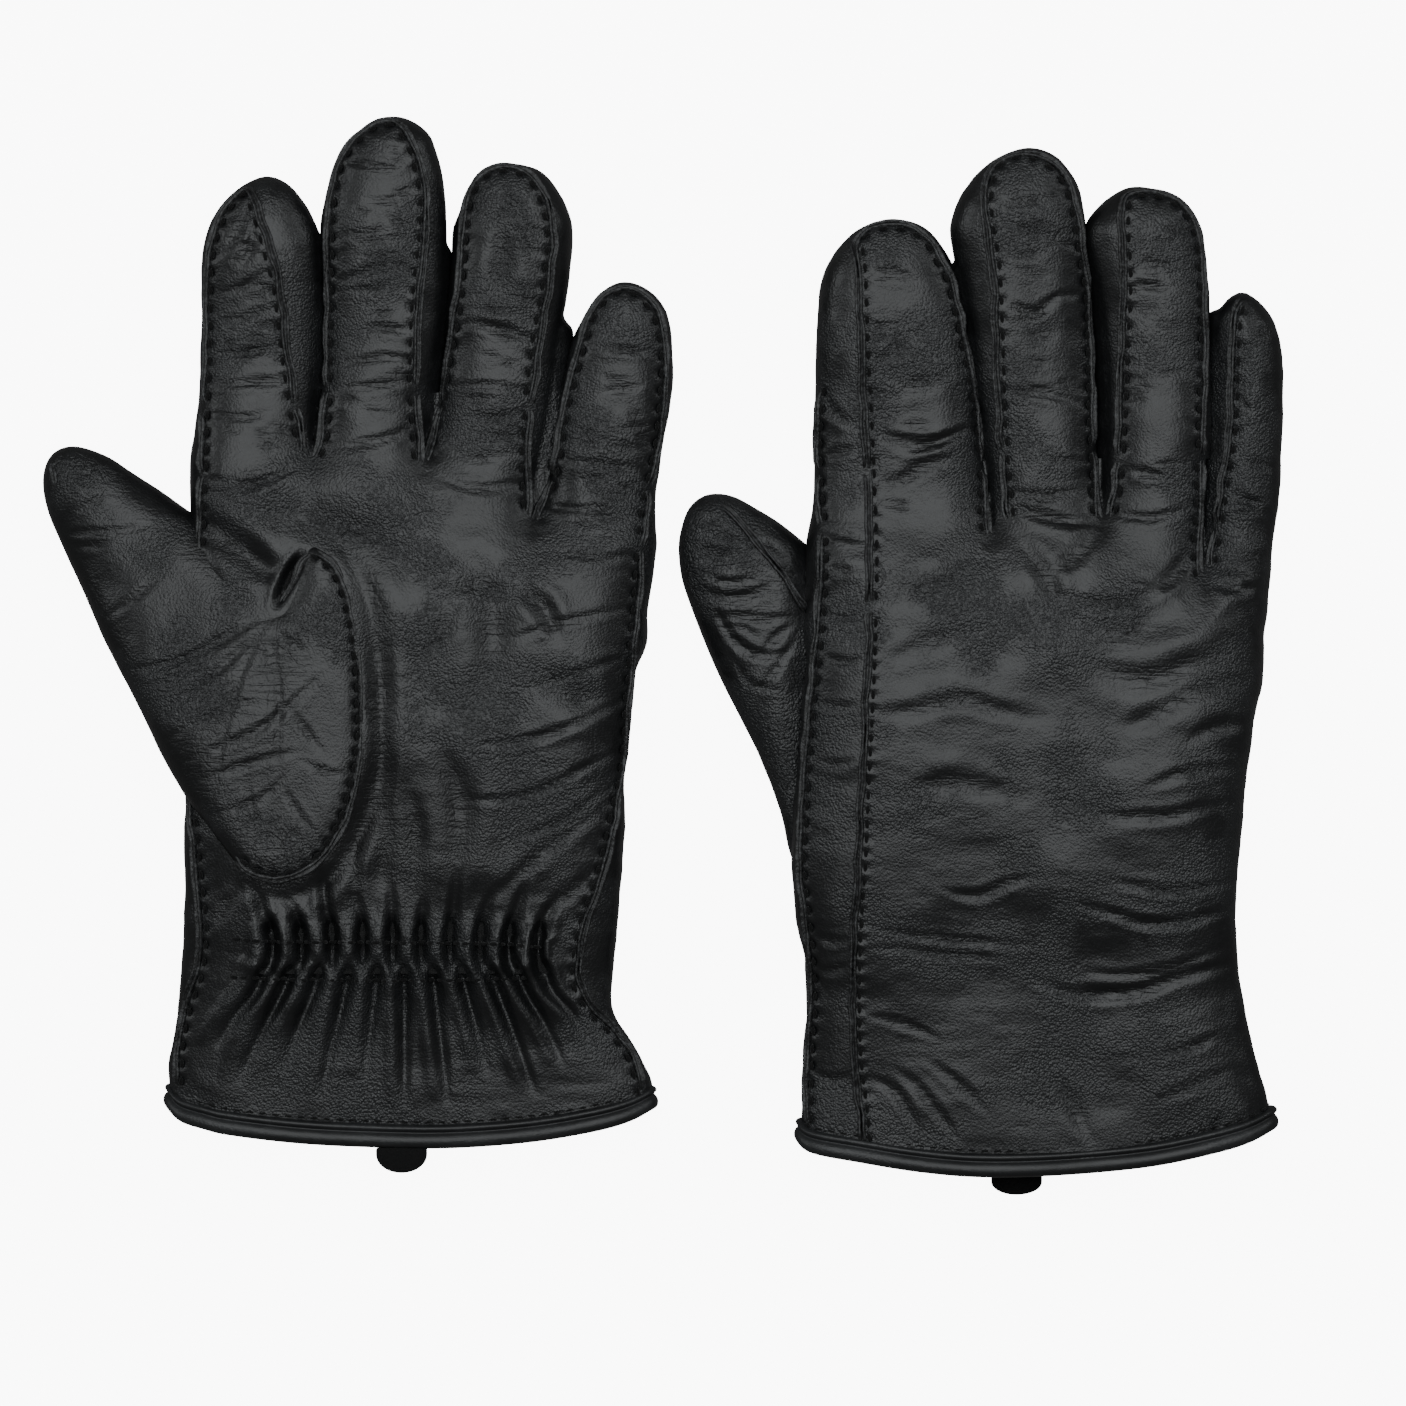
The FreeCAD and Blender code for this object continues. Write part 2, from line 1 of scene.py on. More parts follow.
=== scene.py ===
"""A pair of black leather dress gloves with a fleece lining, lying flat: left palm up, right back up.

All plan coordinates are millimetres in the pair's own plan, +Y towards the fingertips.
They become metres when a mesh is made.
"""

from __future__ import annotations

import logging
import math
from dataclasses import dataclass, field
from enum import Enum
from typing import Any, Callable, Iterable, Sequence

import bpy
import numpy as np
import openvdb
from mathutils import Matrix, Vector
from mathutils.bvhtree import BVHTree

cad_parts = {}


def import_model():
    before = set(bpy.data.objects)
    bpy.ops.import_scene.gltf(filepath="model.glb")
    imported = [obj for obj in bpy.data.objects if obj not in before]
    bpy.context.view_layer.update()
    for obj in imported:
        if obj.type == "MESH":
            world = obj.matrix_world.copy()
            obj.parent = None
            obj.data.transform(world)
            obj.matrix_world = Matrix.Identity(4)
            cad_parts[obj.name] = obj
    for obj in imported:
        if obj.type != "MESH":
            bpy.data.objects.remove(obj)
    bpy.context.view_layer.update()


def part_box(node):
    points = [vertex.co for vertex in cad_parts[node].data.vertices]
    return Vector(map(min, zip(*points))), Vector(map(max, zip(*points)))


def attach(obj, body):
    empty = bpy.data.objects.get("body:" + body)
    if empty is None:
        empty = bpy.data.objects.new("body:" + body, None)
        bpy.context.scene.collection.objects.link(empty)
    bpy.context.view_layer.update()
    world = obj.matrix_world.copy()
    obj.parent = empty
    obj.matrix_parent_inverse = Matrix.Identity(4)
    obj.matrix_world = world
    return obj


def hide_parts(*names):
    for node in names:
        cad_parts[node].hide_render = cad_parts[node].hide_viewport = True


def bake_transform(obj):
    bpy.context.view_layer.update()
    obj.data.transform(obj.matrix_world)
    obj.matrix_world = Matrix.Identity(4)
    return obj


log = logging.getLogger("gloves")

Array = np.ndarray
Plan = Sequence[tuple[float, float]]

MM = 0.001
VOXEL = 0.75            # grid of the leather skins
LINING_VOXEL = 1.5      # grid of the hidden lining
LEATHER = 1.0           # thickness of the leather
SEED = 20
FINGER_CUT = -13.0      # where a finger's leather starts, measured from its knuckle
ROOT_CUT = -22.0        # a finger's own skin is kept from here
FINGER_BLEND = 12.0     # ends of a finger's bend, this far on both sides of its knuckle; bend does not use them
THUMB_BLEND = (12.0, 14.0)   # and this far inside and outside a thumb's hinge; also not used by bend
STITCH_OFFSET = 1.75    # from the middle of a seam to its stitches
ROW_PITCH = 2.9         # stitches over the wrist elastic
THREAD = (2.4, 1.05)    # length and thickness of a stitch
HEM_THREAD = (2.0, 0.55)
FLOOR = 0.05            # nothing lies lower than this
HAND_CREASES = 0.80     # share of the drawn depth
THUMB_CREASES = 0.75


class Side(Enum):
    """Which face of a lying glove a line is drawn on."""

    TOP = 1
    BOTTOM = -1


class Hand(Enum):
    """The two gloves of the pair, by their prefix."""

    LEFT = "left"
    RIGHT = "right"


# ---------------------------------------------------------------- numbers


def smoothstep(values: Array | float, low: float, high: float) -> Array:
    """Smooth ramp from 0 at low to 1 at high.

    Args:
        values: numbers to ramp.
        low: where the ramp leaves 0.
        high: where the ramp reaches 1.

    Returns:
        The ramp's values.
    """
    share = np.clip((np.asarray(values, float) - low) / (high - low), 0.0, 1.0)
    return share * share * (3.0 - 2.0 * share)


def smooth_min(first: Array, second: Array, width: float) -> Array:
    """Smaller of two distances with a rounded hollow where they meet.

    Args:
        first: one distance.
        second: the other distance.
        width: size of the hollow.

    Returns:
        The blended distance.
    """
    share = np.maximum(width - np.abs(first - second), 0.0) / width
    return np.minimum(first, second) - share * share * width * 0.25


def value_noise(points: Array, size: float, seed: int) -> Array:
    """Smooth random values from -1 to 1 on a lattice.

    Args:
        points: places, one row each.
        size: lattice spacing.
        seed: which noise.

    Returns:
        One value for each place.
    """
    table = np.random.default_rng(seed).uniform(-1.0, 1.0, 4096)
    cell = np.asarray(points, float) / size
    base = np.floor(cell).astype(np.int64)
    part = cell - base
    part = part * part * (3.0 - 2.0 * part)
    total = np.zeros(len(cell))
    for corner in range(8):
        step = np.array([corner & 1, corner >> 1 & 1, corner >> 2 & 1])
        key = base + step
        index = (key[:, 0] * 73856093 ^ key[:, 1] * 19349663 ^ key[:, 2] * 83492791) & 4095
        weight = np.prod(np.where(step == 1, part, 1.0 - part), axis=1)
        total += weight * table[index]
    return total


def spline(points: Sequence[Sequence[float]], spacing: float, closed: bool = False) -> Array:
    """Even points along a Catmull-Rom curve through given points.

    Args:
        points: the points it passes through.
        spacing: distance between the points returned.
        closed: whether the curve joins its own start.

    Returns:
        The points along the curve.
    """
    knots = np.asarray(points, float)
    if closed:
        knots = np.vstack([knots[-1], knots, knots[0], knots[1]])
    else:
        knots = np.vstack([2 * knots[0] - knots[1], knots, 2 * knots[-1] - knots[-2]])
    steps = np.linspace(0.0, 1.0, 13)[:-1, None]
    pieces = []
    for a, b, c, d in zip(knots[:-3], knots[1:-2], knots[2:-1], knots[3:]):
        curve = 2 * b + (c - a) * steps + (2 * a - 5 * b + 4 * c - d) * steps**2
        pieces.append(0.5 * (curve + (3 * b - a - 3 * c + d) * steps**3))
    dense = np.vstack(pieces + [knots[-2][None]])
    return resample(dense, spacing)


def resample(points: Array, spacing: float) -> Array:
    """Points at even distances along a line of short runs.

    Args:
        points: the line.
        spacing: wanted distance between points.

    Returns:
        The evenly spaced points.
    """
    runs = np.linalg.norm(np.diff(points, axis=0), axis=1)
    length = np.concatenate([[0.0], np.cumsum(runs)])
    count = max(int(round(length[-1] / spacing)), 2)
    wanted = np.linspace(0.0, length[-1], count + 1)
    return np.column_stack([np.interp(wanted, length, points[:, k]) for k in range(points.shape[1])])


def normalised(vectors: Array) -> Array:
    """Each row scaled to length 1."""
    return vectors / np.maximum(np.linalg.norm(vectors, axis=-1, keepdims=True), 1e-9)


def line_distance(points: Array, line: Array) -> tuple[Array, Array]:
    """Distance from each point to a line of runs and where along it the nearest place is.

    Args:
        points: plan points.
        line: corners of the line.

    Returns:
        The distances, and shares from 0 at the line's start to 1 at its end.
    """
    best = np.full(len(points), 1e9)
    where = np.zeros(len(points))
    runs = np.linalg.norm(np.diff(line, axis=0), axis=1)
    starts = np.concatenate([[0.0], np.cumsum(runs)])
    for index, run in enumerate(runs):
        low, step = line[index], line[index + 1] - line[index]
        share = np.clip(((points - low) @ step) / max(run * run, 1e-9), 0.0, 1.0)
        distance = np.linalg.norm(points - low - share[:, None] * step, axis=1)
        nearer = distance < best
        best = np.where(nearer, distance, best)
        where = np.where(nearer, (starts[index] + share * run) / starts[-1], where)
    return best, where


def outline_distance(points: Array, corners: Array) -> Array:
    """Signed distance to a closed plan outline, negative inside.

    Args:
        points: plan points.
        corners: corners of the outline.

    Returns:
        One distance for each point.
    """
    ring = np.vstack([corners, corners[:1]])
    distance = line_distance(points, ring)[0]
    inside = np.zeros(len(points), bool)
    x, y = points[:, 0], points[:, 1]
    for (ax, ay), (bx, by) in zip(ring[:-1], ring[1:]):
        if ay == by:
            continue
        crosses = (ay > y) != (by > y)
        inside ^= crosses & (x < (bx - ax) * (y - ay) / (by - ay) + ax)
    return np.where(inside, -distance, distance)


# ---------------------------------------------------------------- meshes


@dataclass
class Skin:
    """A surface of four-cornered faces in plan millimetres, with normals and painted values."""

    points: Array
    faces: Array
    normals: Array
    wrinkle: Array

    def part(self, keep: Array) -> Skin:
        """The faces that a mask keeps, with only their own points.

        Args:
            keep: one truth value for each face.

        Returns:
            The smaller skin.
        """
        faces = self.faces[keep]
        used, index = np.unique(faces, return_inverse=True)
        return Skin(self.points[used], index.reshape(faces.shape), self.normals[used], self.wrinkle[used])

    def centres(self) -> Array:
        """Middle of each face."""
        return self.points[self.faces].mean(axis=1)

    def thickened(self, wall: float) -> Skin:
        """A closed sheet with this skin outside and a second one a wall's thickness inside.

        Args:
            wall: thickness in millimetres.

        Returns:
            The closed skin.
        """
        count = len(self.points)
        inner = self.points - self.normals * wall
        edges = np.concatenate([self.faces[:, [k, (k + 1) % 4]] for k in range(4)])
        key = np.sort(edges, axis=1)
        _, first, times = np.unique(key, axis=0, return_index=True, return_counts=True)
        rim = edges[first[times == 1]]
        sides = np.column_stack([rim[:, 1], rim[:, 0], rim[:, 0] + count, rim[:, 1] + count])
        faces = np.vstack([self.faces, self.faces[:, ::-1] + count, sides])
        points = np.vstack([self.points, inner])
        normals = np.vstack([self.normals, -self.normals])
        return Skin(points, faces, normals, np.concatenate([self.wrinkle, self.wrinkle]))


def face_normals(points: Array, faces: Array) -> Array:
    """Point normals from the faces round each point.

    Args:
        points: places of the points.
        faces: corners of the faces.

    Returns:
        One unit normal for each point.
    """
    corner = points[faces]
    cross = np.cross(corner[:, 2] - corner[:, 0], corner[:, 3] - corner[:, 1])
    total = np.zeros_like(points)
    for k in range(4):
        np.add.at(total, faces[:, k], cross)
    return normalised(total)


def skin_from_field(values: Array, origin: Array, size: float) -> Skin:
    """The zero surface of a distance grid.

    Args:
        values: distances on the grid, negative inside.
        origin: plan place of the grid's first point.
        size: grid spacing.

    Returns:
        The surface, with its faces pointing outwards.
    """
    grid = openvdb.FloatGrid(background=3.0 * size)
    grid.copyFromArray(np.clip(values, -3.0 * size, 3.0 * size).astype(np.float32))
    points, faces = grid.convertToQuads(isovalue=0.0)
    points = np.asarray(points, float) * size + origin
    faces = np.asarray(faces, np.int64)
    corner = points[faces]
    volume = np.einsum("ij,ij->i", corner[:, 0], np.cross(corner[:, 1], corner[:, 2])).sum()
    if volume < 0:
        faces = faces[:, ::-1]
    return Skin(points, faces, face_normals(points, faces), np.zeros(len(points)))


def make_object(name: str, points: Array, faces: Iterable[Sequence[int]], material: bpy.types.Material,
                normals: Array | None = None, paints: dict[str, Array] | None = None) -> bpy.types.Object:
    """A smooth mesh object at the origin, in metres.

    Args:
        name: the object's name.
        points: places in plan millimetres.
        faces: corners of each face.
        material: the finish.
        normals: own normals, or None to let the faces give them.
        paints: values to store at the points, by attribute name.

    Returns:
        The object, linked to the scene.
    """
    mesh = bpy.data.meshes.new(name)
    faces = faces.tolist() if isinstance(faces, np.ndarray) else [list(face) for face in faces]
    mesh.from_pydata((points * MM).tolist(), [], faces)
    mesh.polygons.foreach_set("use_smooth", [True] * len(mesh.polygons))
    for label, values in (paints or {}).items():
        layer = mesh.attributes.new(label, "FLOAT", "POINT")
        layer.data.foreach_set("value", values.astype(np.float32))
    mesh.validate()
    mesh.update()
    if normals is not None:
        mesh.normals_split_custom_set_from_vertices(normals.tolist())
    mesh.materials.append(material)
    obj = bpy.data.objects.new(name, mesh)
    bpy.context.scene.collection.objects.link(obj)
    return obj


def skin_object(name: str, skin: Skin, material: bpy.types.Material) -> bpy.types.Object:
    """An object from a skin, with its own normals and its wrinkle paint."""
    return make_object(name, skin.points, skin.faces, material, skin.normals, {"wrinkle": skin.wrinkle})


def sweep(path: Array, up: Array, profile: Array, closed: bool = False) -> tuple[Array, list[list[int]]]:
    """A profile carried along a path.

    Args:
        path: points along the way.
        up: direction of the profile's height at each point.
        profile: closed outline, across and up, anticlockwise when looking along the path.
        closed: whether the path joins its own start.

    Returns:
        The points and the faces.
    """
    count, around = len(path), profile.shape[-2]
    if closed:
        ahead = np.roll(path, -1, axis=0) - np.roll(path, 1, axis=0)
    else:
        ahead = np.gradient(path, axis=0)
    ahead = normalised(ahead)
    across = normalised(np.cross(ahead, up))
    rise = normalised(np.cross(across, ahead))
    shape = profile if profile.ndim == 3 else np.repeat(profile[None], count, axis=0)
    points = path[:, None] + across[:, None] * shape[:, :, :1] + rise[:, None] * shape[:, :, 1:]
    faces = []
    for i in range(count if closed else count - 1):
        low, high = i * around, (i + 1) % count * around
        for k in range(around):
            nxt = (k + 1) % around
            faces.append([low + k, high + k, high + nxt, low + nxt])
    if not closed:
        faces.append([k for k in range(around)])
        faces.append([(count - 1) * around + k for k in reversed(range(around))])
    return points.reshape(-1, 3), faces


def outward(points: Array, faces: list[list[int]]) -> list[list[int]]:
    """The faces, turned round if the closed shape they make is inside out."""
    volume = 0.0
    for face in faces:
        corner = points[face]
        for k in range(1, len(face) - 1):
            volume += float(np.dot(corner[0], np.cross(corner[k], corner[k + 1])))
    return faces if volume > 0 else [face[::-1] for face in faces]


def joined(parts: list[tuple[Array, list[list[int]]]]) -> tuple[Array, list[list[int]]]:
    """Several shapes as one list of points and faces."""
    points, faces, offset = [], [], 0
    for places, corners in parts:
        points.append(places)
        faces += [[index + offset for index in face] for face in corners]
        offset += len(places)
    return np.vstack(points), faces


# ---------------------------------------------------------------- shader maths


class Value:
    """A number that varies over a surface. Operators on it add Math nodes."""

    def __init__(self, bench: Bench, socket: bpy.types.NodeSocket) -> None:
        """Keeps the socket that the number comes from."""
        self.bench = bench
        self.socket = socket

    def math(self, operation: str, *others: Value | float, clamp: bool = False) -> Value:
        """The result of a Math node.

        Args:
            operation: the node's operation.
            others: its other numbers.
            clamp: whether the result is kept from 0 to 1.

        Returns:
            The new number.
        """
        settings = {"operation": operation, "use_clamp": clamp}
        node = self.bench.node("ShaderNodeMath", settings, (self,) + others)
        return Value(self.bench, node.outputs[0])

    def ramp(self, low: float, high: float) -> Value:
        """Smooth ramp from 0 at low to 1 at high."""
        settings = {"interpolation_type": "SMOOTHSTEP"}
        node = self.bench.node("ShaderNodeMapRange", settings, (self, low, high, 0.0, 1.0))
        return Value(self.bench, node.outputs[0])

    def __add__(self, other: Value | float) -> Value:
        """Sum."""
        return self.math("ADD", other)

    __radd__ = __add__

    def __sub__(self, other: Value | float) -> Value:
        """Difference."""
        return self.math("SUBTRACT", other)

    def __rsub__(self, other: float) -> Value:
        """Difference from a plain number."""
        return (self * -1.0).math("ADD", other)

    def __mul__(self, other: Value | float) -> Value:
        """Product."""
        return self.math("MULTIPLY", other)

    __rmul__ = __mul__

    def __pow__(self, other: float) -> Value:
        """Power."""
        return self.math("POWER", other)


class Bench:
    """Where one material's nodes are put together."""

    def __init__(self, name: str) -> None:
        """Starts an empty material."""
        self.material = bpy.data.materials.new(name)
        self.material.use_nodes = True
        self.tree = self.material.node_tree
        self.tree.nodes.clear()

    def node(self, kind: str, settings: dict[str, Any] | None = None,
             values: Sequence[Any] | dict[str, Any] = ()) -> bpy.types.Node:
        """Adds a node, sets it, then fills its sockets.

        Args:
            kind: the node's type.
            settings: properties to set first.
            values: numbers, sockets or Values, by socket place or name.

        Returns:
            The node.
        """
        node = self.tree.nodes.new(kind)
        for label, setting in (settings or {}).items():
            setattr(node, label, setting)
        pairs = values.items() if isinstance(values, dict) else enumerate(values)
        for key, value in pairs:
            socket = node.inputs[key]
            if isinstance(value, Value):
                self.tree.links.new(value.socket, socket)
            elif isinstance(value, bpy.types.NodeSocket):
                self.tree.links.new(value, socket)
            else:
                socket.default_value = value
        return node

    def place(self, scale: tuple[float, float, float] = (1.0, 1.0, 1.0)) -> bpy.types.NodeSocket:
        """Object coordinates in millimetres, stretched by a scale."""
        coordinate = self.node("ShaderNodeTexCoord").outputs["Object"]
        factors = tuple(part / MM for part in scale)
        return self.node("ShaderNodeVectorMath", {"operation": "MULTIPLY"}, (coordinate, factors)).outputs[0]

    def noise(self, where: bpy.types.NodeSocket, scale: float, detail: float = 2.0) -> Value:
        """Soft noise from 0 to 1."""
        values = {"Vector": where, "Scale": scale, "Detail": detail}
        return Value(self, self.node("ShaderNodeTexNoise", {}, values).outputs["Fac"])

    def warped(self, where: bpy.types.NodeSocket, scale: float, amount: float) -> bpy.types.NodeSocket:
        """Coordinates pushed about by a coloured noise."""
        values = {"Vector": where, "Scale": scale, "Detail": 1.0}
        push = self.node("ShaderNodeTexNoise", {}, values).outputs["Color"]
        moved = self.node("ShaderNodeVectorMath", {"operation": "MULTIPLY"}, (push, (amount,) * 3)).outputs[0]
        return self.node("ShaderNodeVectorMath", {"operation": "ADD"}, (where, moved)).outputs[0]

    def cells(self, where: bpy.types.NodeSocket, scale: float, feature: str) -> Value:
        """Distance pattern of random cells."""
        values = {"Vector": where, "Scale": scale}
        pattern = self.node("ShaderNodeTexVoronoi", {"feature": feature}, values)
        return Value(self, pattern.outputs["Distance"])

    def paint(self, name: str) -> Value:
        """A value stored at the points."""
        return Value(self, self.node("ShaderNodeAttribute", {"attribute_name": name}).outputs["Fac"])

    def mixed(self, share: Value, low: tuple[float, ...], high: tuple[float, ...]) -> bpy.types.NodeSocket:
        """A colour between two others."""
        values = {0: share, 6: low, 7: high}
        return self.node("ShaderNodeMix", {"data_type": "RGBA"}, values).outputs[2]

    def bump(self, height: Value, distance: float = MM) -> bpy.types.NodeSocket:
        """Normals from a height in millimetres."""
        values = {"Strength": 1.0, "Distance": distance, "Height": height}
        return self.node("ShaderNodeBump", {}, values).outputs[0]

    def finish(self, values: dict[str, Any]) -> bpy.types.Material:
        """Adds the surface shader and returns the material."""
        shader = self.node("ShaderNodeBsdfPrincipled", {}, values)
        self.node("ShaderNodeOutputMaterial", {}, {"Surface": shader.outputs[0]})
        return self.material


def grey(level: float, tint: float = 0.0) -> tuple[float, float, float, float]:
    """A near-black colour; tint leans it to blue."""
    return (level * (1.0 - tint), level, level * (1.0 + tint), 1.0)


@dataclass(frozen=True)
class LeatherFinish:
    """Fine-grained black glove leather, its colour darkened along the crease lines and wrinkles by painted
    shade.
    """

    name: str
    dark: float = 0.0060
    worn: float = 0.0165
    roughness: float = 0.29
    pebble: float = 0.09
    network: float = 0.20
    across: float = 0.10

    def material(self) -> bpy.types.Material:
        """The node material."""
        bench = Bench(self.name)
        here = bench.place()
        patch = bench.noise(here, 0.045, 3.0).ramp(0.44, 0.62)
        fold = bench.paint("wrinkle")
        loose = bench.warped(here, 0.22, 3.2)
        pebbles = bench.cells(bench.warped(here, 1.0, 0.5), 1.6, "F1")
        plates = 1.0 - bench.cells(loose, 0.75, "DISTANCE_TO_EDGE").ramp(0.0, 0.16)
        lines = 1.0 - bench.cells(loose, 0.16, "DISTANCE_TO_EDGE").ramp(0.0, 0.05)
        stretched = bench.place((0.07, 0.55, 0.4))
        grooves = bench.noise(bench.warped(stretched, 0.6, 0.9), 1.0, 3.0)
        ridged = (1.0 - ((grooves - 0.5) * 2.0).math("ABSOLUTE")) ** 9.0
        deep = fold.ramp(0.35, 0.95)
        crease = lines * (0.04 + 0.7 * deep) * (0.4 + 0.6 * patch)
        crease = crease + plates * (0.05 + 0.4 * patch) * (0.25 + deep)
        height = (0.5 - pebbles) * self.pebble * (0.35 + patch) * 2.0
        height = height - crease * self.network - ridged * (0.05 + 1.1 * deep) * self.across
        height = height + bench.noise(here, 0.25, 2.0) * 0.12
        # Colour mask: random tone from patch and noise, less painted shade that darkens the crease network,
        # most where the wrinkle paint marks folds.
        tone_and_crease_shade = (patch * 0.45 + bench.noise(here, 0.6, 3.0) * 0.55 - crease * 0.35).ramp(0.15, 0.85)
        rough = self.roughness + 0.14 * bench.noise(here, 0.09, 3.0) + crease * 0.10
        return bench.finish({
            "Base Color": bench.mixed(tone_and_crease_shade, grey(self.dark, 0.05), grey(self.worn, 0.05)),
            "Roughness": rough,
            "Specular IOR Level": 0.5,
            "Normal": bench.bump(height),
        })


@dataclass(frozen=True)
class EdgeFinish:
    """Raw cut edges of the leather along the outside seams; their lighter flecks are partly rubbed leather
    and partly a painted highlight that makes them look a little shinier than its face.
    """

    name: str
    dark: float = 0.007
    light: float = 0.045

    def material(self) -> bpy.types.Material:
        """The node material."""
        bench = Bench(self.name)
        here = bench.place()
        # Lighter flecks on the raw edges: partly rubbed leather, partly a painted highlight standing in for
        # the welts' shine.
        rub_and_painted_highlight = bench.noise(here, 0.9, 3.0).ramp(0.45, 0.7)
        height = bench.noise(here, 1.6, 3.0) * 0.22
        return bench.finish({
            "Base Color": bench.mixed(rub_and_painted_highlight, grey(self.dark, 0.02), grey(self.light, 0.03)),
            "Roughness": 0.34 + 0.2 * bench.noise(here, 0.7, 2.0),
            "Normal": bench.bump(height),
        })


@dataclass(frozen=True)
class NapFinish:
    """Matt textile: fleece lining, suede tab, thread or elastic."""

    name: str
    dark: float
    light: float
    size: float
    relief: float
    sheen: float = 0.3

    def material(self) -> bpy.types.Material:
        """The node material."""
        bench = Bench(self.name)
        here = bench.place()
        tufts = bench.cells(bench.warped(here, self.size, 0.6), self.size, "F1")
        fluff = bench.noise(here, self.size * 2.4, 4.0)
        height = (tufts * 0.6 + fluff * 0.8) * self.relief
        return bench.finish({
            "Base Color": bench.mixed(fluff.ramp(0.3, 0.7), grey(self.dark), grey(self.light)),
            "Roughness": 0.86 + 0.1 * fluff,
            "Sheen Weight": self.sheen,
            "Sheen Roughness": 0.5,
            "Specular IOR Level": 0.2,
            "Normal": bench.bump(height),
        })


@dataclass
class Finishes:
    """Every material of the pair."""

    leather: bpy.types.Material = field(default_factory=lambda: LeatherFinish("glove_leather").material())
    binding: bpy.types.Material = field(
        default_factory=lambda: LeatherFinish("binding_leather", 0.009, 0.019, 0.36, 0.02, 0.06,
                                              0.05).material())
    edge: bpy.types.Material = field(default_factory=lambda: EdgeFinish("cut_edge").material())
    thread: bpy.types.Material = field(
        default_factory=lambda: NapFinish("black_thread", 0.003, 0.008, 3.0, 0.05, 0.1).material())
    fleece: bpy.types.Material = field(
        default_factory=lambda: NapFinish("fleece", 0.006, 0.016, 0.8, 0.7).material())
    suede: bpy.types.Material = field(
        default_factory=lambda: NapFinish("suede", 0.004, 0.007, 2.2, 0.10, 0.1).material())
    elastic: bpy.types.Material = field(
        default_factory=lambda: NapFinish("elastic", 0.008, 0.02, 1.4, 0.2, 0.2).material())


# ---------------------------------------------------------------- shapes of the gloves


@dataclass(frozen=True)
class Tube:
    """A padded shape: a plan outline with a rounded edge and a lower and an upper height that may vary."""

    outline: Plan
    rounding: float | Callable[[Array], Array]
    low: Callable[[Array], Array]
    high: Callable[[Array], Array]
    power: float = 2.4

    def plan_distance(self, plan: Array) -> Array:
        """Signed distance to the outline in plan."""
        return outline_distance(plan, spline(self.outline, 2.0, closed=True))

    def distance(self, plan: Array, heights: Array, inset: float) -> Array:
        """Distances on a grid.

        Args:
            plan: the grid's plan points, x changing slowest.
            heights: the grid's heights.
            inset: how far inside the shape to measure from.

        Returns:
            Distances, one row for each plan point.
        """
        low, high = self.low(plan) + inset, self.high(plan) - inset
        half = np.maximum((high - low) / 2.0, 0.5)[:, None]
        middle = ((high + low) / 2.0)[:, None]
        given = self.rounding(plan) if callable(self.rounding) else np.full(len(plan), self.rounding)
        rounding = np.maximum(given - inset, 2.0)
        edge = self.plan_distance(plan) + inset
        side = (np.maximum(edge + rounding, 0.0) / rounding)[:, None]
        rise = np.abs(heights[None, :] - middle) / half
        return ((side**self.power + rise**self.power) ** (1.0 / self.power) - 1.0) * half


@dataclass(frozen=True)
class Finger:
    """One finger: its outline from the buried root up the left edge, round the tip and down again."""

    name: str
    outline: Plan
    knuckle: tuple[float, float]
    lean: float
    seams: tuple[Plan, ...]
    pieces: tuple[str, ...]
    thickness: float = 18.6
    web: Plan | None = None

    def tube(self) -> Tube:
        """The finger's padded shape."""
        return Tube(self.outline, 14.0, lambda plan: np.full(len(plan), 0.3),
                    lambda plan: np.full(len(plan), 0.3 + self.thickness))

    def tubes(self) -> list[Tube]:
        """The finger's shape and, where it has one, the low fourchette that closes the gap beside it."""
        shapes = [self.tube()]
        if self.web:
            shapes.append(Tube(self.web, 5.0, lambda plan: np.full(len(plan), 2.5),
                               lambda plan: np.full(len(plan), 13.0)))
        return shapes

    def direction(self) -> Array:
        """Unit vector towards the tip."""
        turn = math.radians(self.lean)
        return np.array([math.sin(turn), math.cos(turn)])

    def reach(self, plan: Array) -> Array:
        """Signed plan distance to the finger with its fourchette."""
        shapes = [shape.plan_distance(plan) for shape in self.tubes()]
        return np.minimum.reduce(shapes)

    def beyond(self, plan: Array) -> Array:
        """How far each plan point lies past the knuckle."""
        return (plan - np.array(self.knuckle)) @ self.direction()


@dataclass(frozen=True)
class Fold:
    """A crease, or with a negative depth a ridge, drawn along a line on one face."""

    depth: float
    width: float
    points: Plan
    side: Side = Side.TOP
    fading: bool = False

    def shifted(self, x: float, y: float, side: Side) -> Fold:
        """The same fold on another glove's face."""
        return Fold(self.depth, self.width, [(px + x, py + y) for px, py in self.points], side, self.fading)

    def taper(self, where: Array) -> Array:
        """Share of the depth along the line: fading starts at once and dies away slowly."""
        if self.fading:
            return smoothstep(where, -0.04, 0.10) * (1.0 - where) ** 0.8
        return np.sin(np.clip(where, 0.02, 0.98) * math.pi) ** 0.7


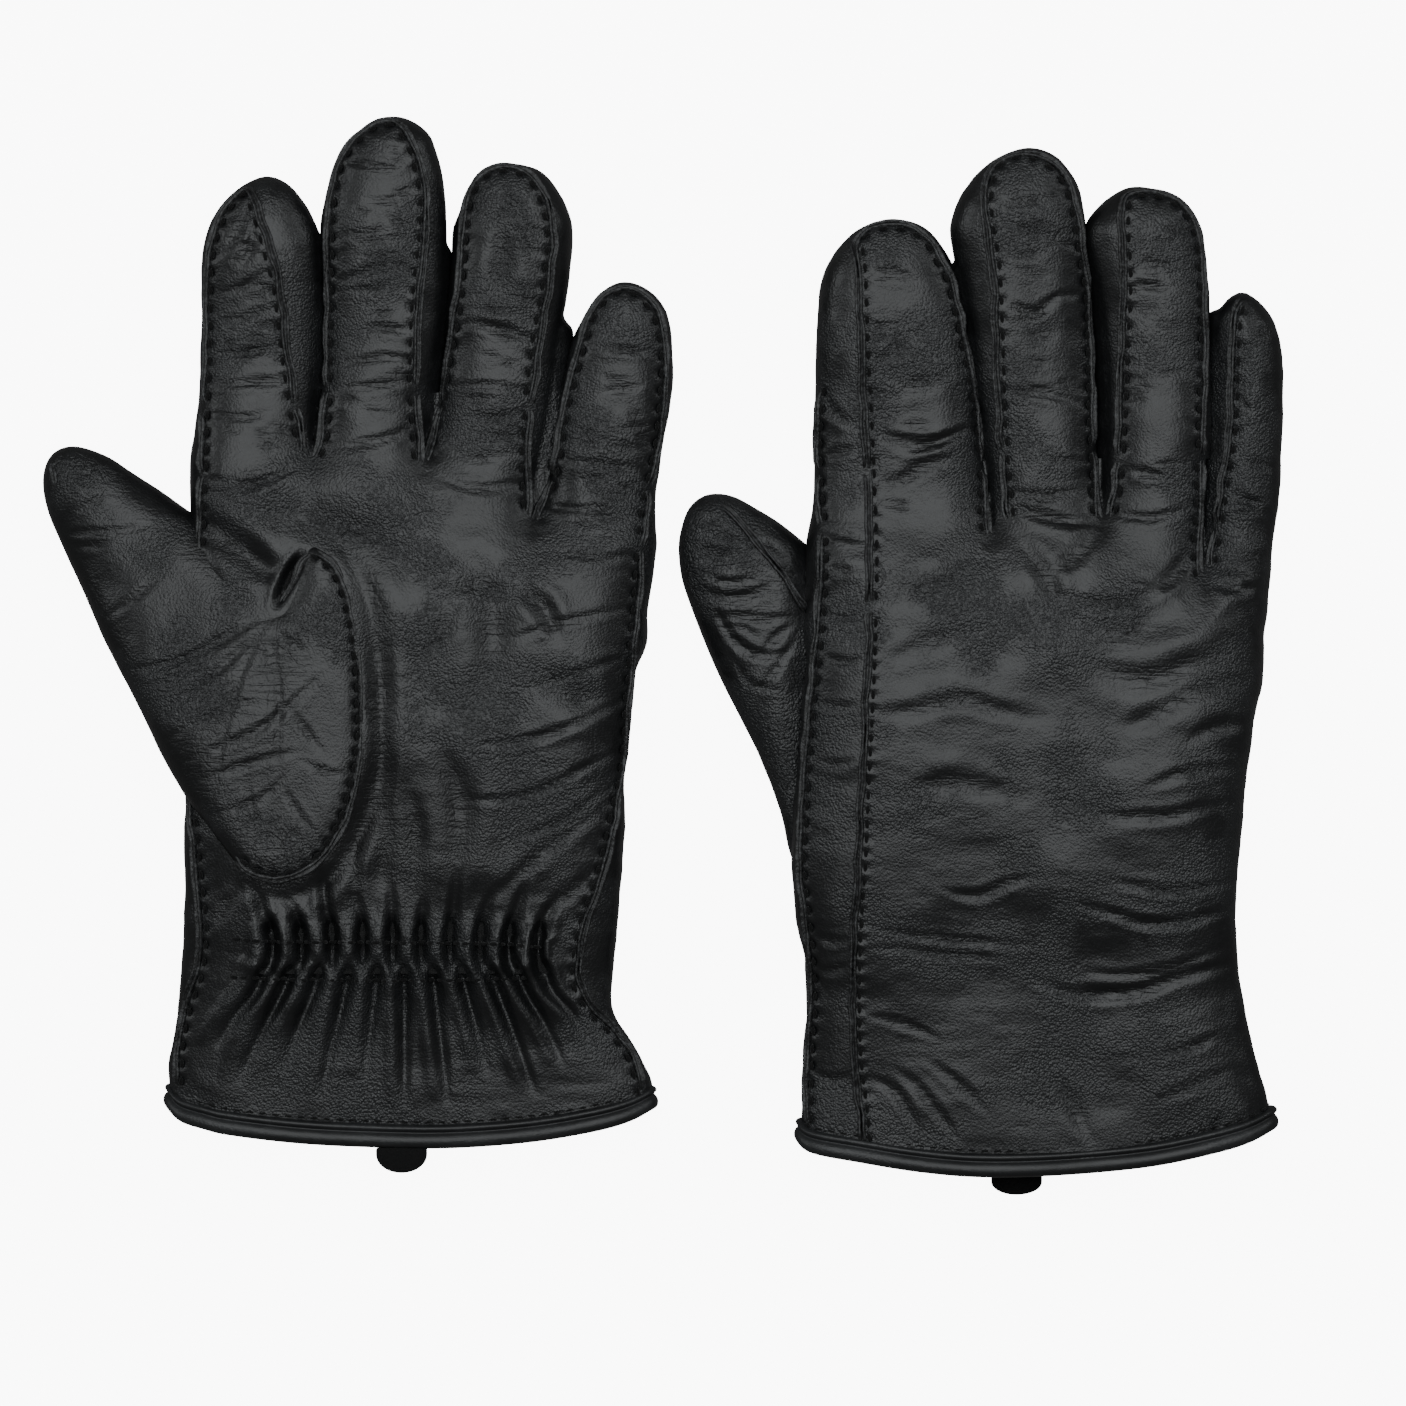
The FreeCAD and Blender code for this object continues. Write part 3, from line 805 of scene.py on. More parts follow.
def apply_folds(skin: Skin, folds: Sequence[Fold], clear: float = 1.0) -> None:
    """Moves a skin's points along their normals by its folds and paints where they are.

    Args:
        skin: the skin to change.
        folds: what to draw.
        clear: share of each depth that is used.
    """
    move = np.zeros(len(skin.points))
    for fold in folds:
        line = spline(fold.points, 1.5)
        pad = 4.0 * fold.width + 1.0
        low, high = line.min(axis=0) - pad, line.max(axis=0) + pad
        plan = skin.points[:, :2]
        facing = skin.normals[:, 2] * fold.side.value
        near = np.flatnonzero(np.all((plan > low) & (plan < high), axis=1) & (facing > 0.05))
        if not len(near):
            continue
        distance, where = line_distance(plan[near], line)
        taper = fold.taper(where)
        width = fold.width * (0.6 + 0.4 * taper)
        valley = np.exp(-((distance / width) ** 2))
        lips = np.exp(-(((distance - 1.9 * width) / (0.9 * width)) ** 2))
        strength = taper * smoothstep(facing[near], 0.05, 0.5) * fold.depth * clear
        if fold.depth > 0:
            move[near] += strength * (0.3 * lips - valley)
            spread = np.exp(-((distance / (fold.width + 2.0)) ** 2))
            skin.wrinkle[near] = np.maximum(skin.wrinkle[near], 0.8 * taper * spread)
        else:
            move[near] -= strength * valley
    skin.points = skin.points + skin.normals * move[:, None]


def undulate(skin: Skin, size: float, height: float, seed: int, stretch: tuple[float, float, float]) -> None:
    """Soft random unevenness.

    Args:
        skin: the skin to change.
        size: distance between bumps.
        height: how high they are.
        seed: which noise.
        stretch: scale of the noise along each axis.
    """
    move = value_noise(skin.points * np.array(stretch), size, seed) * height
    skin.points = skin.points + skin.normals * move[:, None]


def pucker(skin: Skin, rows: Sequence[Array], depth: float = 0.38) -> None:
    """Draws the leather in under each stitch and lets it puff up between neighbours.

    Args:
        skin: the skin to change.
        rows: middles of the stitches, one array for each seam.
        depth: how far the leather is drawn in.
    """
    move = np.zeros(len(skin.points))
    for row in rows:
        near = np.flatnonzero(np.all((skin.points > row.min(axis=0) - 3.0)
                                     & (skin.points < row.max(axis=0) + 3.0), axis=1))
        if not len(near):
            continue
        for places, lift in ((row, -depth), ((row[1:] + row[:-1]) / 2.0, 0.8 * depth)):
            for place in places:
                gap = skin.points[near] - place
                move[near] += lift * np.exp(-np.einsum("ij,ij->i", gap, gap) / 1.2)
    skin.points = skin.points + skin.normals * move[:, None]
    settle(skin)


def settle(skin: Skin) -> None:
    """Keeps a skin above the floor and renews its normals."""
    skin.points[:, 2] = np.maximum(skin.points[:, 2], FLOOR)
    skin.normals = face_normals(skin.points, skin.faces)


def small_creases(finger: Finger, side: Side, seed: int, count: int) -> list[Fold]:
    """Fine cross creases on a finger, strewn from a fixed seed.

    Args:
        finger: the finger they lie on.
        side: which face.
        seed: which strewing.
        count: how many.

    Returns:
        The folds.
    """
    dice = np.random.default_rng(seed)
    outline = np.array(finger.outline)
    top = outline[:, 1].max() - 9.0
    folds = []
    for height in dice.uniform(finger.knuckle[1] - 24.0, top, count):
        middle = finger.knuckle[0] + math.tan(math.radians(finger.lean)) * (height - finger.knuckle[1])
        start = middle + dice.uniform(-11.0, 1.0)
        length = dice.uniform(6.0, 14.0)
        tilt = dice.uniform(-0.22, 0.22)
        bow = dice.uniform(-0.8, 0.8)
        points = [(start, height), (start + length / 2, height + tilt * length / 2 + bow),
                  (start + length, height + tilt * length)]
        folds.append(Fold(dice.uniform(0.12, 0.34), dice.uniform(0.7, 1.1), points, side))
    return folds


# Left glove, palm up. Creases of the palm face.
PALM_FOLDS = [
    Fold(0.40, 0.9, [(-78.8, 123), (-68.5, 121.5), (-62, 124.5)]),
    Fold(0.35, 0.8, [(-75.8, 113.8), (-68.5, 113), (-62, 116.7)]),
    Fold(0.30, 0.8, [(-69, 111), (-66, 108), (-62, 106.5)]),
    Fold(0.35, 0.8, [(-76, 100), (-69, 99), (-63, 100.5)]),
    Fold(0.75, 1.1, [(-81.5, 93.4), (-77, 94.2), (-72, 96), (-66, 97.2), (-61, 94.7)]),
    Fold(0.50, 0.9, [(-78.8, 91), (-72, 91.2), (-66.5, 92.4)]),
    Fold(0.60, 1, [(-75.8, 81.1), (-69, 81.6), (-61.1, 80)]),
    Fold(0.50, 0.9, [(-81.7, 72.3), (-74, 73.6), (-68.5, 74.2), (-61, 73.4)]),
    Fold(0.50, 1, [(-79.5, 66.5), (-70, 67.2), (-61.9, 68.3)]),
    Fold(0.55, 1.2, [(-81.7, 51.4), (-70, 53.6), (-61, 57.3)]),
    Fold(1.00, 2.6, [(-39.6, 107), (-40.2, 98), (-40.8, 88)]),
    Fold(0.45, 0.8, [(-39.1, 120.4), (-38.4, 114.5), (-36.5, 112), (-34.7, 110.9)]),
    Fold(0.45, 0.9, [(-45.5, 108.5), (-42, 109.2), (-38, 110.6), (-34, 107)]),
    Fold(0.40, 0.8, [(-37.5, 107), (-33.5, 101.5), (-29.5, 99.5)]),
    Fold(0.80, 1.2, [(-50.9, 82.6), (-46, 82.6), (-42.8, 81.9), (-38, 80.9), (-32, 78)]),
    Fold(0.50, 0.9, [(-53.8, 66.8), (-42.8, 67.2), (-32.5, 65.4)]),
    Fold(0.50, 0.9, [(-49.4, 59.9), (-40.6, 59.1), (-32.5, 61.7)]),
    Fold(0.50, 1.2, [(-55.3, 44), (-45, 41.2), (-34, 43.4)]),
    Fold(0.35, 1, [(-53, 50), (-45, 49), (-36, 50.5)]),
    Fold(0.40, 0.8, [(-19.3, 77.1), (-10, 76), (-1, 75.6)]),
    Fold(0.60, 1, [(-25.2, 48.5), (-13.5, 47.4), (-4.6, 46.3)]),
    Fold(0.60, 1, [(-30.3, 37.1), (-17.1, 36), (-4.6, 35.3)]),
    Fold(0.40, 1.6, [(-9, 62), (-5, 57), (-3.5, 51)]),
    Fold(0.40, 1, [(-26, 26), (-15, 24), (-6, 25)]),
    Fold(0.70, 1.1, [(-111, 99), (-107.5, 103), (-104.5, 107), (-104, 111)]),
    Fold(0.70, 1.1, [(-107.5, 101), (-103.5, 102), (-100.5, 99.5)]),
    Fold(0.60, 1, [(-105.5, 96), (-103, 99.5), (-102, 104), (-103, 109)]),
    Fold(0.50, 1, [(-110.5, 90), (-104, 92), (-98, 96)]),
    Fold(0.40, 0.9, [(-112, 83), (-104, 84), (-97, 87)]),
    Fold(0.60, 1, [(-113.5, 75), (-104, 75.4), (-95, 77.5)]),
    Fold(0.50, 0.9, [(-113.5, 67.5), (-103, 67.8), (-93, 70)]),
    Fold(0.40, 0.9, [(-113, 60), (-105, 59), (-96, 61)]),
    Fold(0.55, 1.1, [(-114, 43.8), (-103, 42.5), (-96, 44.5), (-90.5, 47.5)]),
    Fold(0.55, 1.2, [(-113.8, 40), (-104, 41.2), (-92, 46.5)]),
    Fold(0.50, 2.5, [(-82, 31), (-74, 22), (-69, 8), (-67.5, -8)]),
    Fold(0.55, 2.2, [(-71, -12), (-68.5, -30), (-69.5, -52), (-71, -64)]),
    Fold(0.45, 2, [(-64, -30), (-61, -46), (-61.5, -60)]),
    Fold(0.55, 1.1, [(-48, -22.5), (-36, -21.5), (-25.5, -18.8), (-9, -11.2)]),
    Fold(0.60, 1.1, [(-50.5, -36), (-40, -36), (-30.5, -33.8), (-10.5, -23.8)]),
    Fold(0.40, 1, [(-35.5, -8.8), (-22, -5), (-8, 0)]),
    Fold(0.40, 1, [(-40, 3), (-25, 8), (-7, 12)]),
    Fold(0.45, 1.2, [(-38, -46), (-26, -42), (-13, -33)]),
    Fold(0.60, 1.8, [(-44, -62), (-36, -55), (-27, -47), (-15, -38)]),
    Fold(0.60, 1.8, [(-33, -66), (-25, -61), (-17, -54)]),
    Fold(0.40, 1.6, [(-58, 15), (-47, 17), (-34, 14)]),
    Fold(0.40, 2, [(-62, -3), (-55, 5), (-50, 16)]),
    Fold(0.50, 1.6, [(-88, -61), (-90, -64), (-92, -68)]),
    Fold(0.60, 1.6, [(-104, -58), (-108, -62), (-112, -68)]),
    Fold(0.50, 1.4, [(-98, -59), (-100, -63), (-103, -67)]),
    Fold(0.50, 1.4, [(-82, -54), (-84, -60), (-84.5, -66)]),
    Fold(0.50, 1.4, [(-76, -47), (-76.5, -56), (-77.5, -66)]),
    Fold(3.40, 1.4, [(-96, 12), (-94.2, 16), (-91.8, 21), (-89.5, 25.5)]),
    Fold(2.60, 3.4, [(-117, 35.5), (-111, 31), (-105, 26.6), (-100, 22.5), (-95, 20)]),
    Fold(1.60, 5, [(-108, 38), (-100, 34), (-90.5, 34.5), (-79, 31), (-66.5, 24.8), (-58, 14.8)]),
    Fold(1.50, 2.6, [(-84, 28.5), (-79, 25.5), (-74.6, 17), (-72.2, 8),
                     (-70.4, -4), (-69.6, -14), (-69.8, -24), (-71.6, -34), (-74.8, -44), (-80.6, -53.5),
                     (-88.6, -59.4), (-98, -60.5), (-106, -57)]),
    Fold(1.40, 2.2, [(-37, 17.5), (-30, 12.5), (-25.5, 4)]),
    Fold(1.30, 4, [(-52, 28), (-44, 18), (-42, 2), (-46, -12)]),
    Fold(1.20, 4, [(-30, -4), (-22, -10), (-12, -12)]),
    Fold(1.20, 3.4, [(-56, -20), (-50, -38), (-52, -58)]),
]

# Right glove, back up. Creases of the back face.
BACK_FOLDS = [
    Fold(0.95, 1.4, [(51.9, 55.4), (56, 54.5), (62.7, 52.9), (69, 53.4), (77, 56)]),
    Fold(0.60, 1.1, [(56, 52), (62, 51), (70, 53.6), (77.5, 57.6)]),
    Fold(0.50, 1.6, [(56.9, 40.9), (62, 45), (66.8, 47.5), (73, 49)]),
    Fold(0.70, 3, [(52.7, 15.2), (61, 16), (69.3, 18.5), (76, 23), (80, 28)]),
    Fold(0.35, 1.2, [(51, 94), (57, 95.6), (65, 92.3)]),
    Fold(0.35, 1.8, [(54, 72), (60, 78), (66, 80.5)]),
    Fold(0.35, 1.8, [(56, 62), (62, 67), (68, 68), (74, 72)]),
    Fold(0.60, 1.2, [(40.3, 65), (43, 60.5), (46.5, 58), (49.4, 57.4)]),
    Fold(0.45, 1, [(39.5, 49.2), (44, 50.5), (49.5, 51.7)]),
    Fold(0.45, 1, [(40.3, 31), (45, 30), (51, 28.5)]),
    Fold(0.40, 1, [(40.5, 22), (45, 21), (51, 22)]),
    Fold(0.35, 0.9, [(41, 10), (46, 9), (51, 10)]),
    Fold(0.40, 1, [(40, 0), (45, -2), (50.5, -1)]),
    Fold(0.35, 1, [(39, -12), (44, -13), (49.5, -12)]),
    Fold(0.35, 1, [(38, -26), (43, -27.5), (48.5, -26)]),
    Fold(0.40, 1, [(38, -70), (42, -71.5), (47, -71)]),
    Fold(0.40, 1, [(38.5, -78), (42, -79), (46.8, -77)]),
    Fold(0.40, 1, [(37, -104), (42, -106), (47, -105)]),
    Fold(0.50, 1, [(83.4, 112.2), (90, 112.8), (98.3, 113)]),
    Fold(0.40, 0.9, [(84, 108), (90, 106.5), (99, 103.5)]),
    Fold(0.60, 1, [(86.7, 88.1), (92.5, 85.6), (96, 87.5), (100, 90.6)]),
    Fold(0.50, 1, [(87.5, 83.2), (93, 84.4), (99, 88)]),
    Fold(0.65, 1.1, [(85.9, 65.7), (91, 65.9), (95.8, 65.3), (104.1, 62.8)]),
    Fold(0.80, 1.3, [(86.7, 37.6), (93, 35), (100.8, 33.4), (109, 32.6)]),
    Fold(0.50, 1.1, [(86, 41), (95, 39.5), (105, 41)]),
    Fold(0.35, 0.9, [(117.4, 96.8), (123, 97.2), (129, 97.2)]),
    Fold(0.40, 0.9, [(116, 64.9), (120, 66.5), (123.2, 66.2)]),
    Fold(0.55, 1, [(115.7, 46.3), (120, 45.6), (125.7, 44.2)]),
    Fold(0.60, 1.1, [(112.4, 35.1), (118, 34.4), (123.2, 34.2), (131.5, 36.7)]),
    Fold(0.50, 0.9, [(143.1, 64.1), (145.5, 62), (148, 60)]),
    Fold(0.40, 0.9, [(143.9, 48.3), (149, 47), (153.9, 45.9)]),
    Fold(0.90, 1.2, [(139.8, 40), (145.6, 39.2), (149, 36.5), (152.2, 34.2)]),
    Fold(0.90, 1.4, [(138.1, 17.7), (143, 16.5), (148.5, 16.8)]),
    Fold(0.90, 2.2, [(89.2, 29.3), (92.5, 24), (95.8, 19.3), (98, 14), (100.8, 9.4)]),
    Fold(0.70, 2.2, [(95, 21.8), (100, 22.5), (104.1, 26), (109.1, 31)]),
    Fold(0.70, 1.6, [(118.2, 18.5), (124.9, 18.5), (129, 22), (132.3, 27.6)]),
    Fold(0.70, 1.6, [(97.5, 15.2), (105, 13.5), (112.4, 12.7), (121, 15), (129, 18.5)]),
    Fold(1.20, 5, [(100, 8), (108, 4), (118, 6), (130, 12)]),
    Fold(1.10, 3.6, [(99.5, 1.2), (110, -4), (122, -6), (134, -2), (146, 3)]),
    Fold(0.90, 2.6, [(114.5, -18.8), (124, -14), (134.5, -8.8), (147, -6.2)]),
    Fold(0.60, 2, [(52, -15), (62, -14), (74, -11.2), (84, -14), (94.5, -16.2)]),
    Fold(0.50, 2.4, [(56, -2), (66, 3), (80, 6)]),
    Fold(0.60, 1.6, [(130, -22), (138, -18), (147, -17)]),
    Fold(0.60, 1.4, [(120, -33), (132, -29), (145, -28)]),
    Fold(0.50, 1.4, [(100, -36), (112, -40), (126, -40), (144, -36)]),
    Fold(0.50, 2.4, [(60, -34), (74, -32), (90, -36)]),
    Fold(0.70, 1.2, [(70.4, -58.6), (76, -60), (81, -59.4), (87, -56.5), (94, -55.3)]),
    Fold(0.80, 1.3, [(102.3, -61.9), (111, -64), (120.2, -66.8), (132, -66), (144.5, -62.5)]),
    Fold(0.55, 1.2, [(112, -56.5), (124, -58.5), (136, -58), (144, -56)]),
    Fold(1.00, 1.6, [(92.5, -80.7), (98, -83), (103.9, -84.7), (117.8, -83.9), (130, -80),
                     (144.5, -76.5)]),
    Fold(0.50, 1.2, [(106, -79), (117, -80), (129, -77.5), (140, -73)]),
    Fold(0.40, 1, [(50.8, -67.6), (62, -70), (73, -70.9), (92.5, -72.5)]),
    Fold(0.40, 1, [(50.8, -73.3), (62, -73.5), (71.2, -74.9), (89, -76)]),
    Fold(0.40, 1, [(51, -90), (60, -92), (70, -96)]),
    Fold(0.50, 1.2, [(51.6, -105.2), (56, -107.5), (59, -110), (64.7, -119.9)]),
    Fold(0.45, 1.2, [(58, -103), (64, -108), (68.8, -114.2), (74.5, -121.5)]),
    Fold(0.40, 1.2, [(66, -101), (74, -107), (82, -115)]),
    Fold(0.50, 2, [(96, -104), (101.4, -110.1), (104.7, -117), (108, -122)]),
    Fold(0.40, 1.2, [(136.6, -122.3), (139, -117), (140.7, -113.3)]),
    Fold(0.40, 1.2, [(140, -94), (132, -98), (122, -100)]),
    Fold(0.40, 1.6, [(143, -103), (134, -107), (122, -112)]),
]

# Left thumb, its palm side up.
LEFT_THUMB_FOLDS = [
    Fold(0.45, 0.9, [(-150, 30.4), (-143, 30.6), (-135, 31), (-127.3, 32.5)]),
    Fold(0.35, 0.9, [(-147, 27), (-140, 27.5), (-136, 29.5)]),
    Fold(0.35, 0.9, [(-147, 35.5), (-142, 38), (-137, 41.5)]),
    Fold(0.40, 0.9, [(-140, 8.3), (-134, 12.5), (-129.5, 15.8), (-122, 23.3)]),
    Fold(1.00, 1.3, [(-133.3, -3.7), (-126.5, -3.2), (-117.5, -0.5), (-109, 4), (-101, 8.3)]),
    Fold(0.50, 1, [(-128, -8), (-120, -5), (-110, 1)]),
    Fold(0.65, 1, [(-125.8, -15.7), (-116, -8.5), (-107, -1), (-99.5, 6.5)]),
    Fold(0.60, 1, [(-119, -27), (-110, -23), (-98, -17.2), (-83, -3.7)]),
    Fold(0.50, 1, [(-116, -31.4), (-108, -29), (-99, -26), (-90, -24)]),
    Fold(0.45, 0.9, [(-123, -21), (-114, -16), (-106, -12), (-98, -12.5)]),
    Fold(0.45, 0.9, [(-98.8, 6.5), (-102.5, 0), (-105.5, -7.5), (-109, -20), (-111.5, -36.7)]),
    Fold(0.40, 0.9, [(-97.5, 6), (-96, -2), (-95, -11.2), (-95.5, -22), (-95, -32.2)]),
    Fold(0.40, 0.9, [(-97, 6.5), (-92, 3), (-88.5, 0)]),
    Fold(0.40, 0.9, [(-93, -13), (-89, -18), (-84, -25)]),
    Fold(0.40, 0.9, [(-113, -40), (-105, -38), (-97, -34), (-92, -28)]),
    Fold(0.40, 0.9, [(-85, -46), (-90, -40), (-94, -33)]),
    Fold(0.35, 0.9, [(-90, -26), (-84, -29), (-77, -30)]),
    Fold(0.35, 0.9, [(-103, -30), (-102, -38), (-98, -46)]),
]

# Right thumb, its back up.
RIGHT_THUMB_FOLDS = [
    Fold(0.70, 1.1, [(12.9, 12.2), (17, 5), (21, 1.2), (26, -0.2), (33, 1)]),
    Fold(1.10, 2.4, [(8.5, 26.5), (14, 24.5), (20, 26), (24, 27)]),
    Fold(0.80, 1.4, [(7.5, 17), (12, 15), (20, 14.5), (28, 17.5)]),
    Fold(0.60, 1, [(8, 30.5), (13, 30), (18, 29), (22.5, 28)]),
    Fold(0.60, 1, [(10, 21), (16, 18), (24, 19)]),
    Fold(0.50, 1, [(11, 8.5), (18, 9.5), (26, 9), (35, 9.5)]),
    Fold(0.50, 1, [(33, 8), (28, 4), (25, 0)]),
    Fold(0.50, 1, [(33.5, 4), (28, -4), (22.5, -11.8)]),
    Fold(0.45, 0.9, [(14, 6.5), (20, 7), (24, 4)]),
    Fold(0.45, 0.9, [(18, -1), (22, -7), (30, -9)]),
    Fold(0.40, 0.9, [(27, 22), (31, 20.5), (34.5, 18.5)]),
    Fold(0.40, 0.9, [(24, 29), (28, 27), (31, 24)]),
    Fold(0.45, 0.9, [(9, 35), (13.5, 33), (16, 29.5)]),
]


def wrist_gathers() -> list[Fold]:
    """The puffs over the wrist elastic and the folds that run from them, on a palm face.

    Returns:
        The folds.
    """
    folds = []
    tops = (-100.9, -93.6, -85.9, -78.3, -70.8, -63.6, -56.4, -48.8, -41.6, -34.0)
    for index, x in enumerate(tops):
        tilt = 0.35 * (index - 4)
        folds.append(Fold(-3.2, 2.0, [(x + tilt * 0.5, -66.0), (x, -73.5), (x - tilt * 0.5, -81.0)]))
        folds.append(Fold(3.0, 1.1, [(x + 3.6, -65.5), (x + 3.6 - tilt * 0.3, -73.0), (x + 3.6, -80.5)]))
        rise = (x + 66.0) * 0.16
        reach = (13.0, 9.0, 16.0, 10.0)[index % 4]
        way = [(x + 3.7, -71.0), (x + 3.8 + rise * 0.4, -64.0), (x + 4.0 + rise, -69.0 + reach)]
        folds.append(Fold(2.1, 1.5, way, fading=True))
    starts = (-102.3, -95.2, -88.6, -81.1, -74.5, -67.9, -61.3, -54.2, -47.6, -40.9, -34.3)
    for index, x in enumerate(starts):
        fan = (x + 68.0) / 34.0
        reach = (21.0, 30.0, 27.0, 34.0, 29.0, 36.0, 35.0, 28.0, 33.0, 26.0, 20.0)[index]
        slope = fan * reach * 0.62
        way = [(x, -75.0), (x + slope * 0.22, -83.0), (x + slope * 0.62, -76.5 - reach * 0.6),
               (x + slope, -76.5 - reach)]
        folds.append(Fold(-2.6, 2.3, way, fading=True))
        valley = [(px + 3.6 * (1.0 + 0.15 * abs(fan)), py - 1.0) for px, py in way]
        folds.append(Fold(2.6, 1.5, valley, fading=True))
    return folds


def gathered_rows() -> list[Plan]:
    """The two rows of stitches that hold the wrist elastic."""
    upper = [(-108.0, -69.0), (-95.0, -69.8), (-66.0, -70.0), (-40.0, -70.4), (-27.5, -71.5)]
    lower = [(-108.5, -78.5), (-95.0, -79.2), (-66.0, -79.6), (-40.0, -79.2), (-27.5, -78.6)]
    return [upper, lower]


# ---------------------------------------------------------------- seams


@dataclass(frozen=True)
class Seam:
    """An outside seam. It is drawn so that its stitches lie on its right."""

    points: Plan
    side: Side = Side.TOP
    pitch: float = 4.4
    height: float = 1.0
    stitched: bool = True


def surface_line(tree: BVHTree, line: Array, side: Side) -> tuple[Array, Array]:
    """A plan line laid on a surface.

    Args:
        tree: the surface, in millimetres.
        line: plan points.
        side: which face it is laid on.

    Returns:
        The points on the surface and the surface's normals there, smoothed along the line.
    """
    points, normals = [], []
    start = 80.0 * side.value
    for x, y in line:
        hit, normal, _, _ = tree.ray_cast(Vector((x, y, start)), Vector((0.0, 0.0, -float(side.value))))
        if hit is None:
            hit, normal, _, _ = tree.find_nearest(Vector((x, y, 10.0)))
        points.append(hit)
        normals.append(normal)
    places, rises = np.array(points), np.array(normals)
    for _ in range(3):
        places[1:-1] = 0.25 * places[:-2] + 0.5 * places[1:-1] + 0.25 * places[2:]
        rises[1:-1] = 0.25 * rises[:-2] + 0.5 * rises[1:-1] + 0.25 * rises[2:]
    return places, normalised(rises)


def welt_profile(count: int, height: float, dice: np.random.Generator) -> Array:
    """Two cut edges standing side by side, unevenly, at each point of a seam.

    Args:
        count: number of points along the seam.
        height: how high the edges stand.
        dice: source of the unevenness.

    Returns:
        One closed outline for each point.
    """
    base = np.array([(-1.0, -0.9), (1.0, -0.9), (1.02, 0.35), (0.90, 0.80), (0.62, 0.92), (0.34, 0.74),
                     (0.10, 0.16), (-0.10, 0.16), (-0.34, 0.74), (-0.62, 0.92), (-0.90, 0.80),
                     (-1.02, 0.35)])
    shapes = np.repeat(base[None], count, axis=0)
    along = np.arange(count)
    for start, stop in ((2, 7), (7, 12)):
        knots = dice.uniform(0.55, 1.25, count // 5 + 3)
        lift = np.interp(along / 5.0, np.arange(len(knots)), knots)
        lean = np.interp(along / 6.0, np.arange(count // 6 + 3), dice.uniform(-0.22, 0.22, count // 6 + 3))
        shapes[:, start:stop, 1] *= lift[:, None]
        shapes[:, start:stop, 0] += lean[:, None]
    shapes[:, :, 1] *= height
    ends = smoothstep(np.minimum(along, count - 1 - along), -1.0, 5.0)
    shapes[:, 2:, 1] = shapes[:, 2:, 1] * ends[:, None] - 0.5 * (1.0 - ends[:, None])
    return shapes


def welt(places: Array, rises: Array, height: float, seed: int) -> tuple[Array, list[list[int]]]:
    """The double raised edge of an outside seam.

    Args:
        places: the seam's points on the leather.
        rises: the leather's normals.
        height: how high the edges stand.
        seed: which unevenness.

    Returns:
        The points and the faces.
    """
    dice = np.random.default_rng(seed)
    count = len(places)
    ahead = normalised(np.gradient(places, axis=0))
    across = normalised(np.cross(ahead, rises))
    knots = count // 5 + 3
    sway = np.interp(np.arange(count) / 5.0, np.arange(knots), dice.uniform(-0.32, 0.32, knots))
    points, faces = sweep(places + across * sway[:, None], rises, welt_profile(count, height, dice))
    return points, outward(points, faces)


